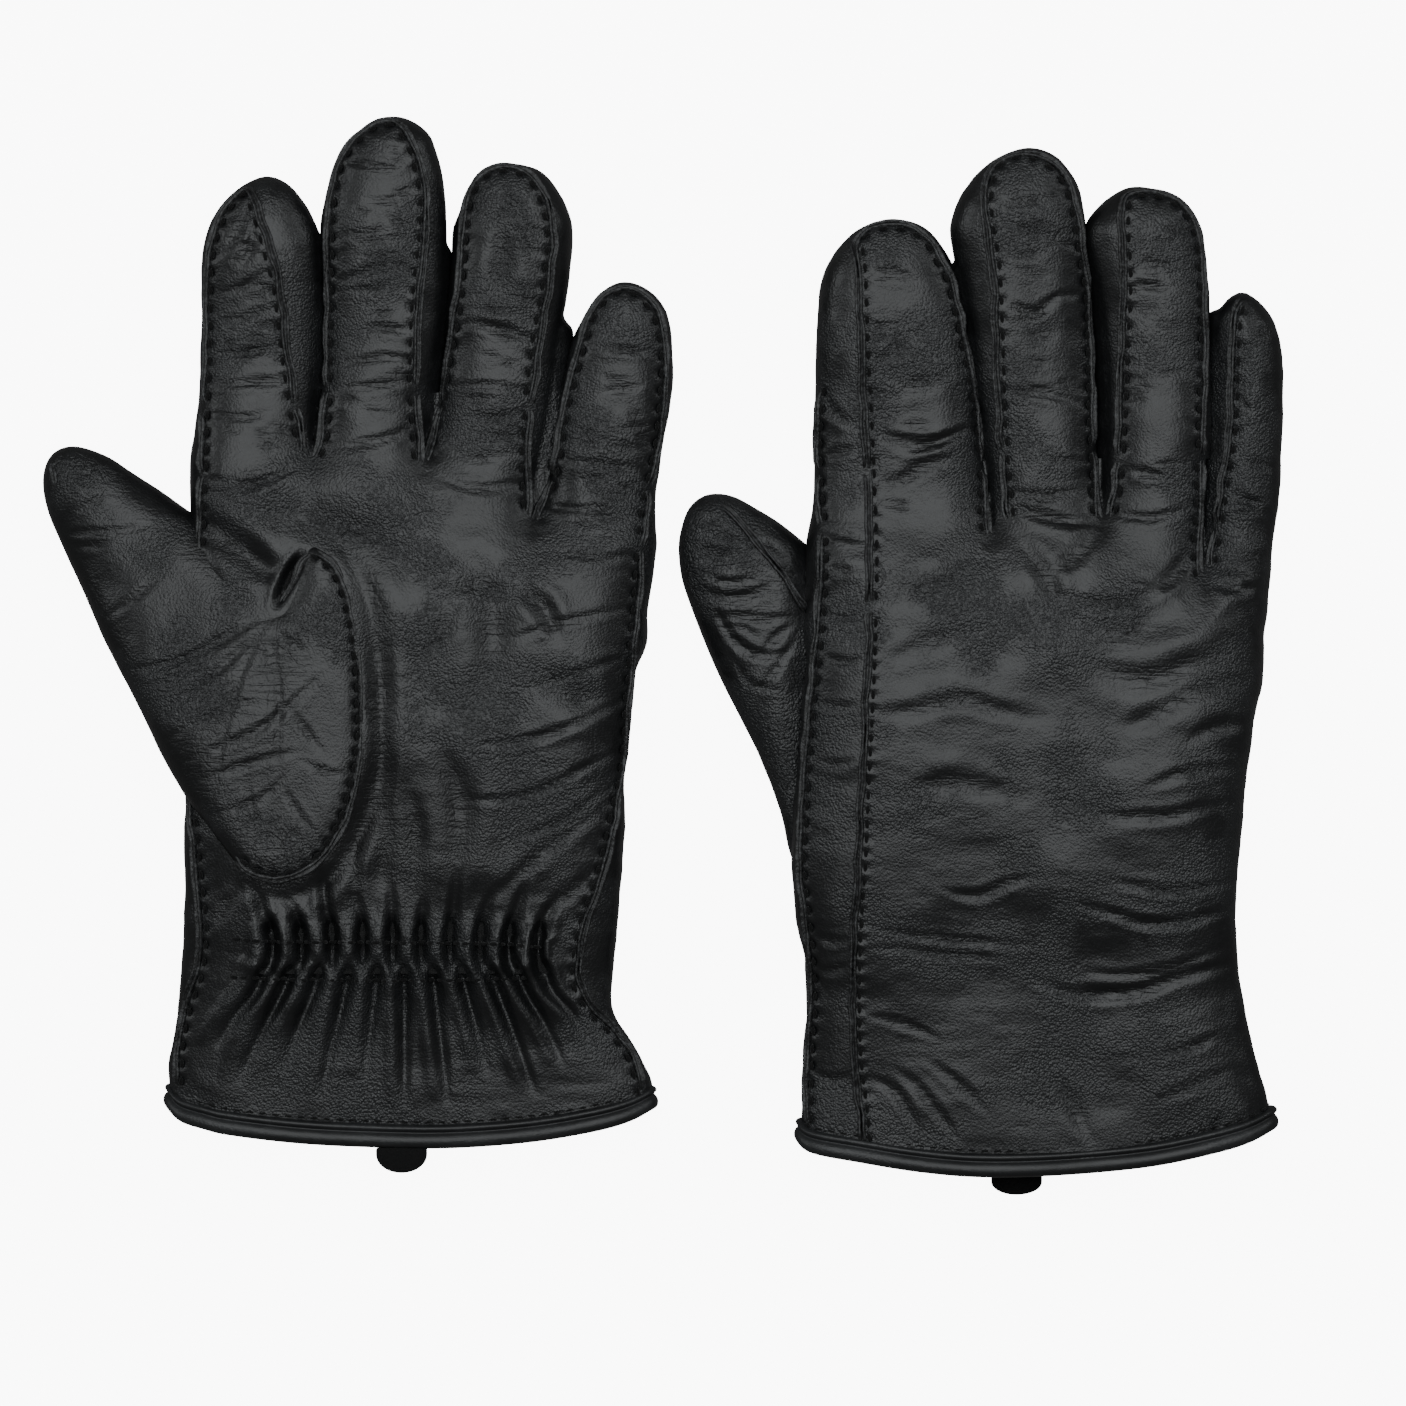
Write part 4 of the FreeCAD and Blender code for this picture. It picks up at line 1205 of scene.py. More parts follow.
class Stitcher:
    """Lays thread dashes with one node tree."""

    def __init__(self, material: bpy.types.Material) -> None:
        """Builds the tree."""
        tree = bpy.data.node_groups.new("stitches", "GeometryNodeTree")
        face = tree.interface
        face.new_socket("Points", in_out="INPUT", socket_type="NodeSocketGeometry")
        self.length, self.width = (
            face.new_socket(label, in_out="INPUT", socket_type="NodeSocketFloat").identifier
            for label in ("Stitch Length", "Thread Width"))
        face.new_socket("Stitches", in_out="OUTPUT", socket_type="NodeSocketGeometry")
        nodes, link = tree.nodes, tree.links.new
        given = nodes.new("NodeGroupInput")
        size = nodes.new("ShaderNodeCombineXYZ")
        link(given.outputs["Stitch Length"], size.inputs[0])
        link(given.outputs["Thread Width"], size.inputs[1])
        link(given.outputs["Thread Width"], size.inputs[2])
        bead = nodes.new("GeometryNodeMeshUVSphere")
        bead.inputs["Segments"].default_value = 8
        bead.inputs["Rings"].default_value = 5
        bead.inputs["Radius"].default_value = 0.5
        turn = nodes.new("GeometryNodeInputNamedAttribute")
        turn.data_type = "FLOAT_VECTOR"
        turn.inputs["Name"].default_value = "turn"
        rotation = nodes.new("FunctionNodeEulerToRotation")
        link(turn.outputs["Attribute"], rotation.inputs[0])
        spread = nodes.new("GeometryNodeInstanceOnPoints")
        link(given.outputs["Points"], spread.inputs["Points"])
        link(bead.outputs["Mesh"], spread.inputs["Instance"])
        link(rotation.outputs[0], spread.inputs["Rotation"])
        link(size.outputs[0], spread.inputs["Scale"])
        real = nodes.new("GeometryNodeRealizeInstances")
        link(spread.outputs["Instances"], real.inputs["Geometry"])
        smooth = nodes.new("GeometryNodeSetShadeSmooth")
        link(real.outputs["Geometry"], smooth.inputs["Geometry"])
        finish = nodes.new("GeometryNodeSetMaterial")
        finish.inputs["Material"].default_value = material
        link(smooth.outputs["Geometry"], finish.inputs["Geometry"])
        out = nodes.new("NodeGroupOutput")
        link(finish.outputs["Geometry"], out.inputs[0])
        self.tree = tree
        self.material = material

    def lay(self, name: str, places: Array, ahead: Array, rises: Array,
            length: float, width: float) -> bpy.types.Object:
        """A plain mesh of stitches.

        Args:
            name: the object's name.
            places: middles of the stitches, in millimetres.
            ahead: their directions.
            rises: normals of the leather under them.
            length: length of a stitch in millimetres.
            width: thickness of the thread in millimetres.

        Returns:
            The object.
        """
        turns = []
        for forward, up in zip(ahead, rises):
            x = Vector(forward).normalized()
            y = Vector(up).cross(x).normalized()
            z = x.cross(y)
            basis = [[x[row], y[row], z[row]] for row in range(3)]
            turns.append(Matrix(basis).to_euler())
        mesh = bpy.data.meshes.new(name)
        mesh.from_pydata((places * MM).tolist(), [], [])
        layer = mesh.attributes.new("turn", "FLOAT_VECTOR", "POINT")
        layer.data.foreach_set("vector", np.array(turns, np.float32).ravel())
        seeds = bpy.data.objects.new(name, mesh)
        bpy.context.scene.collection.objects.link(seeds)
        modifier = seeds.modifiers.new("stitches", "NODES")
        modifier.node_group = self.tree
        modifier[self.length] = length * MM
        modifier[self.width] = width * MM
        graph = bpy.context.evaluated_depsgraph_get()
        baked = bpy.data.meshes.new_from_object(seeds.evaluated_get(graph))
        baked.name = name
        bpy.data.objects.remove(seeds)
        obj = bpy.data.objects.new(name, baked)
        if not baked.materials:
            baked.materials.append(self.material)
        bpy.context.scene.collection.objects.link(obj)
        return obj


# ---------------------------------------------------------------- one glove


@dataclass
class Glove:
    """One glove: builds its skins, seams, binding, lining, elastic and tab, and sets them in place of the
    model's parts.
    """

    hand: Hand
    palm_up: bool
    palm: Tube
    fingers: tuple[Finger, ...]
    thumb: Tube
    thumb_hinge: tuple[tuple[float, float], tuple[float, float]]
    hem: Plan
    folds: list[Fold]
    thumb_folds: list[Fold]
    seams: list[Seam]
    thumb_seams: list[Seam]
    rows: list[tuple[Plan, Side]]
    elastic_at: tuple[float, float, float]
    finishes: Finishes
    stitcher: Stitcher
    shift: Array
    seed: int
    split_height: float = 10.6

    def name(self, part: str) -> str:
        """A piece's full name."""
        return f"{self.hand.value}_{part}"

    def ride(self, obj: bpy.types.Object, body: str, slot: str, *nodes: str) -> None:
        """Parents a piece to the empty of the hand or the tab, or for a finger or the thumb bakes it where it
        lies, and hides the CAD nodes it stands for.

        Args:
            obj: the piece.
            body: hand, thumb, tab or a finger's name.
            slot: not used.
            nodes: the nodes it stands for, without the glove's prefix.
        """
        finger = next((one for one in self.fingers if one.name == body), None)
        if finger is not None:
            at = np.append(np.array(finger.knuckle), 10.0) + self.shift
            step = np.append(finger.direction(), 0.0) * FINGER_BLEND
            self.bend(obj, body, at - step, at + step)
        elif body == "thumb":
            low, high = np.array(self.thumb_hinge)
            middle = np.append((low + high) / 2.0, 20.0) + self.shift
            run = normalised(high - low)
            out = np.array([-run[1], run[0], 0.0])
            self.bend(obj, body, middle - out * THUMB_BLEND[0], middle + out * THUMB_BLEND[1])
        else:
            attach(obj, self.name(body))
        if nodes:
            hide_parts(*[self.name(node) for node in nodes])
        log.info("%s rides on %s, %d faces", obj.name, body, len(obj.data.polygons))

    def bend(self, obj: bpy.types.Object, body: str, start: Array, end: Array) -> None:
        """Bakes the piece's transform into its mesh; the bodies and the two ends it is given are not used."""
        self.name("hand")
        self.name(body)
        tuple(start * MM)
        tuple(end * MM)
        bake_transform(obj)

    def moved(self, skin: Skin) -> Skin:
        """A skin put in the frame's own plan."""
        return Skin(skin.points + self.shift, skin.faces, skin.normals, skin.wrinkle)

    def grid(self, size: float, shapes: Sequence[Tube]) -> tuple[Array, Array, tuple[int, int], Array]:
        """Grid points round some shapes.

        Args:
            size: spacing.
            shapes: what it has to hold.

        Returns:
            Plan points, heights, counts along x and y, and the first point.
        """
        corners = np.vstack([np.array(shape.outline) for shape in shapes])
        low = np.floor(corners.min(axis=0) / size - 3) * size
        high = np.ceil(corners.max(axis=0) / size + 3) * size
        xs = np.arange(low[0], high[0] + size / 2, size)
        ys = np.arange(low[1], high[1] + size / 2, size)
        zs = np.arange(-3 * size, 36.0, size)
        plan = np.stack(np.meshgrid(xs, ys, indexing="ij"), axis=-1).reshape(-1, 2)
        return plan, zs, (len(xs), len(ys)), np.array([xs[0], ys[0], zs[0]])

    def skins(self, size: float, inset: float) -> tuple[Skin, list[Skin]]:
        """The whole hand's skin and each finger's own skin, on one grid.

        Args:
            size: grid spacing.
            inset: distance inside the outer surface.

        Returns:
            The hand with its fingers, and the fingers.
        """
        plan, zs, counts, origin = self.grid(size, [self.palm] + [finger.tube() for finger in self.fingers])
        hand = self.palm.distance(plan, zs, inset)
        whole = hand.copy()
        fingers = []
        for finger in self.fingers:
            low, high = np.array(finger.outline).min(axis=0) - 8.0, np.array(finger.outline).max(axis=0) + 8.0
            near = np.all((plan > low) & (plan < high), axis=1)
            tube, *webs = [shape.distance(plan[near], zs, inset) for shape in finger.tubes()]
            for low_tube in webs:
                tube = smooth_min(tube, low_tube, 1.5)
            blended = smooth_min(hand[near], tube, 6.0)
            whole[near] = np.minimum(whole[near], blended)
            alone = np.full_like(hand, 3.0 * size)
            alone[near] = blended
            skin = skin_from_field(alone.reshape(counts + (len(zs),)), origin, size)
            fingers.append(skin.part(finger.beyond(skin.centres()[:, :2]) > ROOT_CUT))
        return skin_from_field(whole.reshape(counts + (len(zs),)), origin, size), fingers

    def shaped(self, skin: Skin) -> Skin:
        """A skin with its folds and unevenness."""
        undulate(skin, 26.0, 0.95, self.seed, (1.0, 1.0, 0.3))
        undulate(skin, 13.0, 0.40, self.seed + 4, (0.8, 1.2, 0.5))
        undulate(skin, 7.0, 0.20, self.seed + 1, (0.7, 1.3, 1.0))
        undulate(skin, 3.0, 0.07, self.seed + 2, (0.6, 1.4, 1.0))
        skin.normals = face_normals(skin.points, skin.faces)
        skin.wrinkle = 0.25 + 0.2 * value_noise(skin.points, 20.0, self.seed + 3)
        apply_folds(skin, self.folds, HAND_CREASES)
        settle(skin)
        return skin

    def hem_height(self, x: Array) -> Array:
        """The hem's height in plan at each x."""
        curve = spline(self.hem, 1.0)
        return np.interp(x, curve[:, 0], curve[:, 1])

    def beyond_any(self, plan: Array) -> Array:
        """Truth values: which plan points belong to a finger past its seam with the hand."""
        past = np.zeros(len(plan), bool)
        for finger in self.fingers:
            outline = spline(finger.outline, 2.0, closed=True)
            low, high = outline.min(axis=0) - 3.0, outline.max(axis=0) + 3.0
            near = np.flatnonzero(np.all((plan > low) & (plan < high), axis=1))
            near = near[finger.beyond(plan[near]) > FINGER_CUT]
            close = np.ones(len(near), bool)
            for other in self.fingers:
                if other is not finger:
                    close &= finger.reach(plan[near]) <= other.reach(plan[near])
            past[near[close]] = True
        return past

    def build(self) -> None:
        """Makes every piece of the glove."""
        whole, fingers = self.skins(VOXEL, 0.0)
        whole = self.shaped(whole)
        tree = BVHTree.FromPolygons(whole.points.tolist(), whole.faces.tolist())
        stitches = self.seam_pieces(tree)
        pucker(whole, stitches)
        self.hand_leather(whole)
        for finger, skin in zip(self.fingers, fingers):
            part = self.shaped(skin)
            pucker(part, stitches)
            part = part.part(finger.beyond(part.centres()[:, :2]) > FINGER_CUT)
            obj = skin_object(self.name(finger.name + "_leather"), self.moved(part.thickened(LEATHER)),
                              self.finishes.leather)
            nodes = [finger.name + "_" + piece for piece in finger.pieces]
            self.ride(obj, finger.name, "black_leather", *nodes)
        self.thumb_leather()
        self.binding()
        self.linings()
        self.elastic(tree)
        self.tab()

    def hand_leather(self, whole: Skin) -> None:
        """The palm and the back of the hand.

        Args:
            whole: the skin of the hand with its fingers.
        """
        centres = whole.centres()
        keep = ~self.beyond_any(centres[:, :2]) & (centres[:, 1] > self.hem_height(centres[:, 0]) + 0.4)
        upper = centres[:, 2] > self.split_height
        names = {True: ("palm_leather", ("palm_panel", "fourchette_index_middle", "fourchette_middle_ring",
                                         "fourchette_ring_little")),
                 False: ("back_leather", ("back_panel", "side_strip"))}
        for top in (True, False):
            label, nodes = names[top == self.palm_up]
            part = whole.part(keep & (upper == top)).thickened(LEATHER)
            obj = skin_object(self.name(label), self.moved(part), self.finishes.leather)
            self.ride(obj, "hand", "black_leather", *nodes)

    def thumb_leather(self) -> None:
        """The thumb with the part of it that is let into the palm, and its seams."""
        plan, zs, counts, origin = self.grid(VOXEL, [self.thumb])
        values = self.thumb.distance(plan, zs, 0.0)
        skin = skin_from_field(values.reshape(counts + (len(zs),)), origin, VOXEL)
        undulate(skin, 20.0, 0.5, self.seed + 5, (1.0, 1.0, 0.5))
        undulate(skin, 6.0, 0.18, self.seed + 6, (1.0, 1.0, 1.0))
        skin.normals = face_normals(skin.points, skin.faces)
        skin.wrinkle = 0.55 + 0.3 * value_noise(skin.points, 16.0, self.seed + 7)
        apply_folds(skin, self.thumb_folds, THUMB_CREASES)
        settle(skin)
        tree = BVHTree.FromPolygons(skin.points.tolist(), skin.faces.tolist())
        welts, dashes = [], []
        for index, seam in enumerate(self.thumb_seams):
            line = spline(seam.points, 0.8)
            places, rises = surface_line(tree, line, seam.side)
            welts.append(welt(places + self.shift, rises, seam.height, self.seed + 40 + index))
            if seam.stitched:
                dashes.append(self.dashes(places, rises, seam.pitch))
        pucker(skin, [run[0] - self.shift for run in dashes])
        obj = skin_object(self.name("thumb_leather_piece"), self.moved(skin), self.finishes.leather)
        self.ride(obj, "thumb", "black_leather", "thumb_leather", "thumb_base", "thumb_gusset")
        self.seam_objects("thumb", welts, dashes)

    def dashes(self, places: Array, rises: Array, pitch: float) -> tuple[Array, Array, Array]:
        """Where stitches lie beside a seam.

        Args:
            places: the seam's points.
            rises: normals there.
            pitch: distance from stitch to stitch.

        Returns:
            Middles, directions and normals of the stitches.
        """
        ahead = normalised(np.gradient(places, axis=0))
        across = normalised(np.cross(ahead, rises))
        beside = places + across * STITCH_OFFSET + rises * 0.02
        both = resample(np.hstack([beside, ahead, rises]), 0.4)
        runs = np.linalg.norm(np.diff(both[:, :3], axis=0), axis=1)
        length = np.concatenate([[0.0], np.cumsum(runs)])
        at = np.searchsorted(length, np.arange(pitch * 0.6, length[-1] - pitch * 0.3, pitch))
        return both[at, :3] + self.shift, both[at, 3:6], both[at, 6:9]

    def seam_objects(self, body: str, welts: list[tuple[Array, list[list[int]]]],
                     dashes: list[tuple[Array, Array, Array]]) -> None:
        """Makes one welt object and one stitch object for a body.

        Args:
            body: the body they ride on.
            welts: shapes of the welts.
            dashes: places of the stitches.
        """
        if welts:
            points, faces = joined(welts)
            points[:, 2] = np.maximum(points[:, 2], FLOOR)
            obj = make_object(self.name(body + "_welts"), points, faces, self.finishes.edge)
            self.ride(obj, body, "black_leather")
        if dashes:
            places, ahead, rises = (np.vstack(group) for group in zip(*dashes))
            places[:, 2] = np.maximum(places[:, 2], 0.6)
            if len(places):
                obj = self.stitcher.lay(self.name(body + "_stitches"), places, ahead, rises, *THREAD)
                self.ride(obj, body, "black_leather")

    def seam_pieces(self, tree: BVHTree) -> list[Array]:
        """The welts and stitches of the hand and the fingers.

        Args:
            tree: the glove's surface.

        Returns:
            Middles of the seams' stitches, one array for each run.
        """
        bodies = ["hand"] + [finger.name for finger in self.fingers]
        welts: dict[str, list] = {body: [] for body in bodies}
        dashes: dict[str, list] = {body: [] for body in bodies}
        jobs = [("hand", seam) for seam in self.seams]
        jobs += [(finger.name, Seam(points)) for finger in self.fingers for points in finger.seams]
        for finger in self.fingers:
            jobs.append((finger.name, Seam(self.under_seam(finger), Side.BOTTOM)))
        for index, (owner, seam) in enumerate(jobs):
            line = spline(seam.points, 0.8)
            places, rises = surface_line(tree, line, seam.side)
            finger = next((one for one in self.fingers if one.name == owner), None)
            past = finger.beyond(places[:, :2]) > FINGER_CUT if finger else np.zeros(len(places), bool)
            shares = ((owner, past), ("hand", ~past)) if finger else (("hand", ~past),)
            for body, mask in shares:
                for run in self.runs(mask):
                    seed = self.seed + 60 + index
                    welts[body].append(welt(places[run] + self.shift, rises[run], seam.height, seed))
                    if seam.stitched:
                        dashes[body].append(self.dashes(places[run], rises[run], seam.pitch))
        stitches = [run[0] - self.shift for runs in dashes.values() for run in runs if len(run[0]) > 1]
        for points, side in self.rows:
            places, rises = surface_line(tree, spline(points, 0.8), side)
            middles, ahead, ups = self.dashes(places, rises, ROW_PITCH)
            dashes["hand"].append((middles, ahead, ups))
        for body in bodies:
            self.seam_objects(body, welts[body], dashes[body])
        return stitches

    def runs(self, mask: Array) -> list[slice]:
        """Unbroken stretches of a mask, at least six points long, reaching one point past their ends."""
        found, start = [], None
        for index, inside in enumerate(list(mask) + [False]):
            if inside and start is None:
                start = index
            if not inside and start is not None:
                if index - start >= 6:
                    found.append(slice(max(start - 1, 0), min(index + 1, len(mask))))
                start = None
        return found

    def under_seam(self, finger: Finger) -> Plan:
        """The seam round the finger's hidden face."""
        outline = spline(finger.outline, 3.0, closed=True)
        ahead = normalised(np.roll(outline, -1, axis=0) - np.roll(outline, 1, axis=0))
        inward = np.column_stack([ahead[:, 1], -ahead[:, 0]])
        middle = outline.mean(axis=0)
        if np.sum((middle - outline) * inward) < 0:
            inward = -inward
        ring = outline + inward * 3.0
        start = finger.knuckle[1] - 25.0
        ring = ring[(outline[:, 1] > start)]
        order = int(np.argmax(np.linalg.norm(np.diff(np.vstack([ring, ring[:1]]), axis=0), axis=1)))
        return [tuple(point) for point in np.roll(ring, -(order + 1), axis=0)]

    def cuff_ring(self, outset: float) -> tuple[Array, Array]:
        """Points round the cuff's mouth and the directions that point out of it.

        Args:
            outset: distance outside the leather.

        Returns:
            The points and the directions.
        """
        curve = spline(self.hem, 1.0)
        left, right = curve[0, 0], curve[-1, 0]
        low = float(self.palm.low(curve[:1])[0])
        high = float(self.palm.high(curve[:1])[0])
        half, middle = (high - low) / 2.0 + outset, (high + low) / 2.0
        rounding, power = self.palm.rounding, self.palm.power
        turn = np.linspace(0.0, math.pi / 2.0, 26)
        inward = rounding * (1.0 - np.cos(turn))
        rise = half * (1.0 - ((rounding - inward) / rounding) ** power) ** (1.0 / power)
        flat = np.linspace(left + rounding, right - rounding, 60)[1:-1]
        xs = np.concatenate([left + inward, flat, (right - inward)[::-1]])
        zs = np.concatenate([rise, np.full(len(flat), half), rise[::-1]])
        ring = np.concatenate([np.column_stack([xs, zs]), np.column_stack([xs, -zs])[::-1][1:-1]])
        ring = resample(np.vstack([ring, ring[:1]]), 1.6)[:-1]
        ahead = normalised(np.roll(ring, -1, axis=0) - np.roll(ring, 1, axis=0))
        out = np.column_stack([-ahead[:, 1], np.zeros(len(ring)), ahead[:, 0]])
        sway = 0.5 * np.sin(ring[:, 0] * 0.11 + self.seed) * (ring[:, 1] > 0)
        points = np.column_stack([ring[:, 0], self.hem_height(ring[:, 0]), ring[:, 1] + middle + sway])
        return points, out

    def binding(self) -> None:
        """The rolled hem binding: a fat roll at the edge and a thin ridge above it."""
        path, out = self.cuff_ring(0.0)
        profile = np.array([(-0.1, -3.2), (-1.0, -2.0), (-1.15, -0.3), (-0.8, 0.95), (0.1, 1.55),
                            (1.3, 1.6), (2.3, 1.15), (2.75, 0.55), (3.0, 0.5), (3.35, 0.95),
                            (3.9, 1.22), (4.5, 0.95), (4.9, 0.2), (5.1, -0.6), (4.6, -3.0), (2.5, -3.4)])
        count, around = len(path), len(profile)
        dice = np.random.default_rng(self.seed + 9)
        knots = dice.uniform(0.88, 1.12, count // 4 + 3)
        swell = np.interp(np.arange(count) / 4.0, np.arange(len(knots)), knots)
        swell[-6:] = np.linspace(swell[-6], swell[0], 6)
        along = np.array([0.0, 1.0, 0.0])
        rise = np.where(profile[:, 1] > 0, profile[:, 1], 0.0)
        sink = np.where(profile[:, 1] > 0, 0.0, profile[:, 1])
        heights = swell[:, None] * rise[None] + sink[None]
        points = path[:, None] + along * profile[None, :, :1] + out[:, None] * heights[:, :, None]
        points = points + self.shift
        faces = []
        for i in range(count):
            low, high = i * around, (i + 1) % count * around
            for k in range(around):
                nxt = (k + 1) % around
                faces.append([low + k, high + k, high + nxt, low + nxt])
        points = points.reshape(-1, 3)
        points[:, 2] = np.maximum(points[:, 2], 0.02)
        obj = make_object(self.name("binding"), points, outward(points, faces), self.finishes.binding)
        smooth = obj.modifiers.new("smooth", "SUBSURF")
        smooth.levels = smooth.render_levels = 1
        self.ride(obj, "hand", "binding_leather", "hem_binding")
        places = path + along * 5.6 + out * 0.12
        at = np.flatnonzero(np.abs(out[:, 2]) > 0.6)[::2]
        ahead = normalised(np.roll(path, -1, axis=0) - np.roll(path, 1, axis=0))
        obj = self.stitcher.lay(self.name("binding_stitches"), places[at] + self.shift, ahead[at], out[at],
                                *HEM_THREAD)
        self.ride(obj, "hand", "binding_leather")

    def linings(self) -> None:
        """The fleece pouches inside the hand, the fingers and the thumb."""
        whole, fingers = self.skins(LINING_VOXEL, 2.6)
        undulate(whole, 5.0, 0.3, self.seed + 11, (1.0, 1.0, 1.0))
        centres = whole.centres()
        keep = ~self.beyond_any(centres[:, :2]) & (centres[:, 1] > self.hem_height(centres[:, 0]) + 0.6)
        whole.normals = face_normals(whole.points, whole.faces)
        part = whole.part(keep).thickened(1.6)
        obj = skin_object(self.name("hand_fleece"), self.moved(part), self.finishes.fleece)
        self.ride(obj, "hand", "fleece_lining", "hand_lining")
        for finger, skin in zip(self.fingers, fingers):
            part = skin.part(finger.beyond(skin.centres()[:, :2]) > FINGER_CUT).thickened(1.4)
            obj = skin_object(self.name(finger.name + "_fleece"), self.moved(part), self.finishes.fleece)
            self.ride(obj, finger.name, "fleece_lining", finger.name + "_lining")
        plan, zs, counts, origin = self.grid(LINING_VOXEL, [self.thumb])
        values = self.thumb.distance(plan, zs, 2.6)
        skin = skin_from_field(values.reshape(counts + (len(zs),)), origin, LINING_VOXEL)
        obj = skin_object(self.name("thumb_fleece"), self.moved(skin), self.finishes.fleece)
        self.ride(obj, "thumb", "fleece_lining", "thumb_lining")

    def elastic(self, tree: BVHTree) -> None:
        """The ribbed elastic that gathers the palm side of the wrist, under the leather.

        Args:
            tree: the glove's surface.
        """
        start, end, middle = self.elastic_at
        side = Side.TOP if self.palm_up else Side.BOTTOM
        xs = np.linspace(start, end, 150)
        ys = np.linspace(middle - 5.0, middle + 5.0, 12)
        line, _ = surface_line(tree, np.column_stack([xs, np.full(len(xs), middle)]), side)
        base = line[:, 2]
        for _ in range(12):
            base[1:-1] = (base[:-2] + base[1:-1] + base[2:]) / 3.0
        ribs = 0.18 * np.sin(xs * 3.0)
        outer = base - side.value * (1.9 - ribs)
        inner = base - side.value * 2.7
        points = [(x, y, z) for layer in (outer, inner) for x, z in zip(xs, layer) for y in ys]
        rows, count = len(ys), len(xs) * len(ys)
        faces = []
        for i in range(len(xs) - 1):
            for j in range(rows - 1):
                a, b = i * rows + j, (i + 1) * rows + j
                faces.append([a, b, b + 1, a + 1])
                faces.append([count + a + 1, count + b + 1, count + b, count + a])
        ring = [i * rows for i in range(len(xs))] + [(len(xs) - 1) * rows + j for j in range(1, rows)]
        ring += [i * rows + rows - 1 for i in range(len(xs) - 2, -1, -1)] + list(range(rows - 2, 0, -1))
        for a, b in zip(ring, ring[1:] + ring[:1]):
            faces.append([b, a, a + count, b + count])
        places = np.array(points) + self.shift
        obj = make_object(self.name("elastic_band"), places, outward(places, faces), self.finishes.elastic)
        self.ride(obj, "hand", "elastic", "wrist_elastic")

    def tab(self) -> None:
        """The half-round suede tab under the hem."""
        lowest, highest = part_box(self.name("pull_tab"))
        top, z = highest[1] / MM, (lowest[2] + highest[2]) / 2.0 / MM
        centre, half = (lowest[0] + highest[0]) / 2.0 / MM, (highest[0] - lowest[0]) / 2.0 / MM
        length = (highest[1] - lowest[1]) / MM
        drop = min(half, length)
        turn = np.linspace(0.0, math.pi, 41)
        rim = np.column_stack([half * np.cos(turn), -(length - drop) - drop * np.sin(turn)])
        outline = np.vstack([[(half, 1.6)], rim, [(-half, 1.6)]])
        outline = resample(np.vstack([outline, outline[:1]]), 0.7)[:-1]
        rings = [(1.0, -0.30), (1.0, 0.30), (0.95, 0.48), (0.6, 0.55), (0.0, 0.55)]
        inner_rings = [(0.95, -0.48), (0.6, -0.55), (0.0, -0.55)]
        middle = np.array([0.0, -length / 2.0])
        layers = inner_rings[::-1][1:] + rings[:-1]
        points = []
        for share, height in layers:
            for x, y in middle + (outline - middle) * share:
                lift = height + 0.25 * math.sin(0.5 * x + 1.0) * (y / length)
                points.append((x + centre, y + top, z + lift))
        count, faces = len(outline), []
        for level in range(len(layers) - 1):
            for k in range(count):
                nxt = (k + 1) % count
                low, high = level * count, (level + 1) * count
                faces.append([low + k, low + nxt, high + nxt, high + k])
        for level, height in ((0, -0.55), (len(layers) - 1, 0.55)):
            points.append((centre, top + middle[1], z + height))
            for k in range(count):
                faces.append([level * count + k, level * count + (k + 1) % count, len(points) - 1])
                if level:
                    continue
                faces[-1] = faces[-1][::-1]
        places = np.array(points)
        obj = make_object(self.name("suede_tab"), places, outward(places, faces), self.finishes.suede)
        self.ride(obj, "tab", "tab_suede", "pull_tab")


# ---------------------------------------------------------------- the pair


def hinge_side(plan: Array, low: tuple[float, float], high: tuple[float, float]) -> Array:
    """How far each plan point lies outside a thumb's hinge line, towards -X."""
    run = normalised(np.array(high) - np.array(low))
    return (plan - np.array(low)) @ np.array([-run[1], run[0]])


def tip_distance(plan: Array, tip: tuple[float, float], lean: float) -> Array:
    """Distance down a thumb's axis from its tip."""
    turn = math.radians(lean)
    return (plan - np.array(tip)) @ np.array([-math.sin(turn), -math.cos(turn)])


LEFT_HINGE = ((-111.75, -48.75), (-94.75, 10.75))
RIGHT_HINGE = ((35.55, -52.0), (35.55, 6.0))


def left_thumb_low(plan: Array) -> Array:
    """Underside of the left thumb: on the floor at the tip, sunk in the palm at the base."""
    out = smoothstep(hinge_side(plan, *LEFT_HINGE), -8.0, 22.0)
    down = smoothstep(tip_distance(plan, (-151.2, 51.5), -37.4), 25.0, 80.0)
    return 19.5 * (1.0 - out) + out * (0.4 + 7.0 * down)


def left_thumb_high(plan: Array) -> Array:
    """Upper side of the left thumb."""
    down = tip_distance(plan, (-151.2, 51.5), -37.4)
    out = smoothstep(hinge_side(plan, *LEFT_HINGE), -40.0, 10.0)
    rise = 17.8 + 9.6 * smoothstep(down, 15.0, 85.0)
    return rise * out + (1.0 - out) * 27.6


def left_thumb_rounding(plan: Array) -> Array:
    """Round all over at the tip, a raised edge where the thumb is let into the palm."""
    return 7.5 + 7.5 * smoothstep(hinge_side(plan, *LEFT_HINGE), -6.0, 16.0)


def right_thumb_high(plan: Array) -> Array:
    """Upper side of the right thumb, lower where it goes under the hand."""
    return 17.0 - 5.0 * smoothstep(plan[:, 0], 28.0, 46.0)


def hand_thickness(plan: Array) -> Array:
    """Upper side of a hand, by height above the hem in plan."""
    heights = (-150.0, -118.0, -98.0, -78.0, -52.0, -20.0, 10.0, 36.0, 60.0)
    tops = (15.2, 15.4, 16.8, 18.6, 22.5, 25.0, 25.0, 22.6, 20.0)
    return np.interp(plan[:, 1], heights, tops)


def right_hand_thickness(plan: Array) -> Array:
    """Upper side of the right hand, whose hem lies a little nearer."""
    return hand_thickness(plan + np.array([0.0, 7.5]))


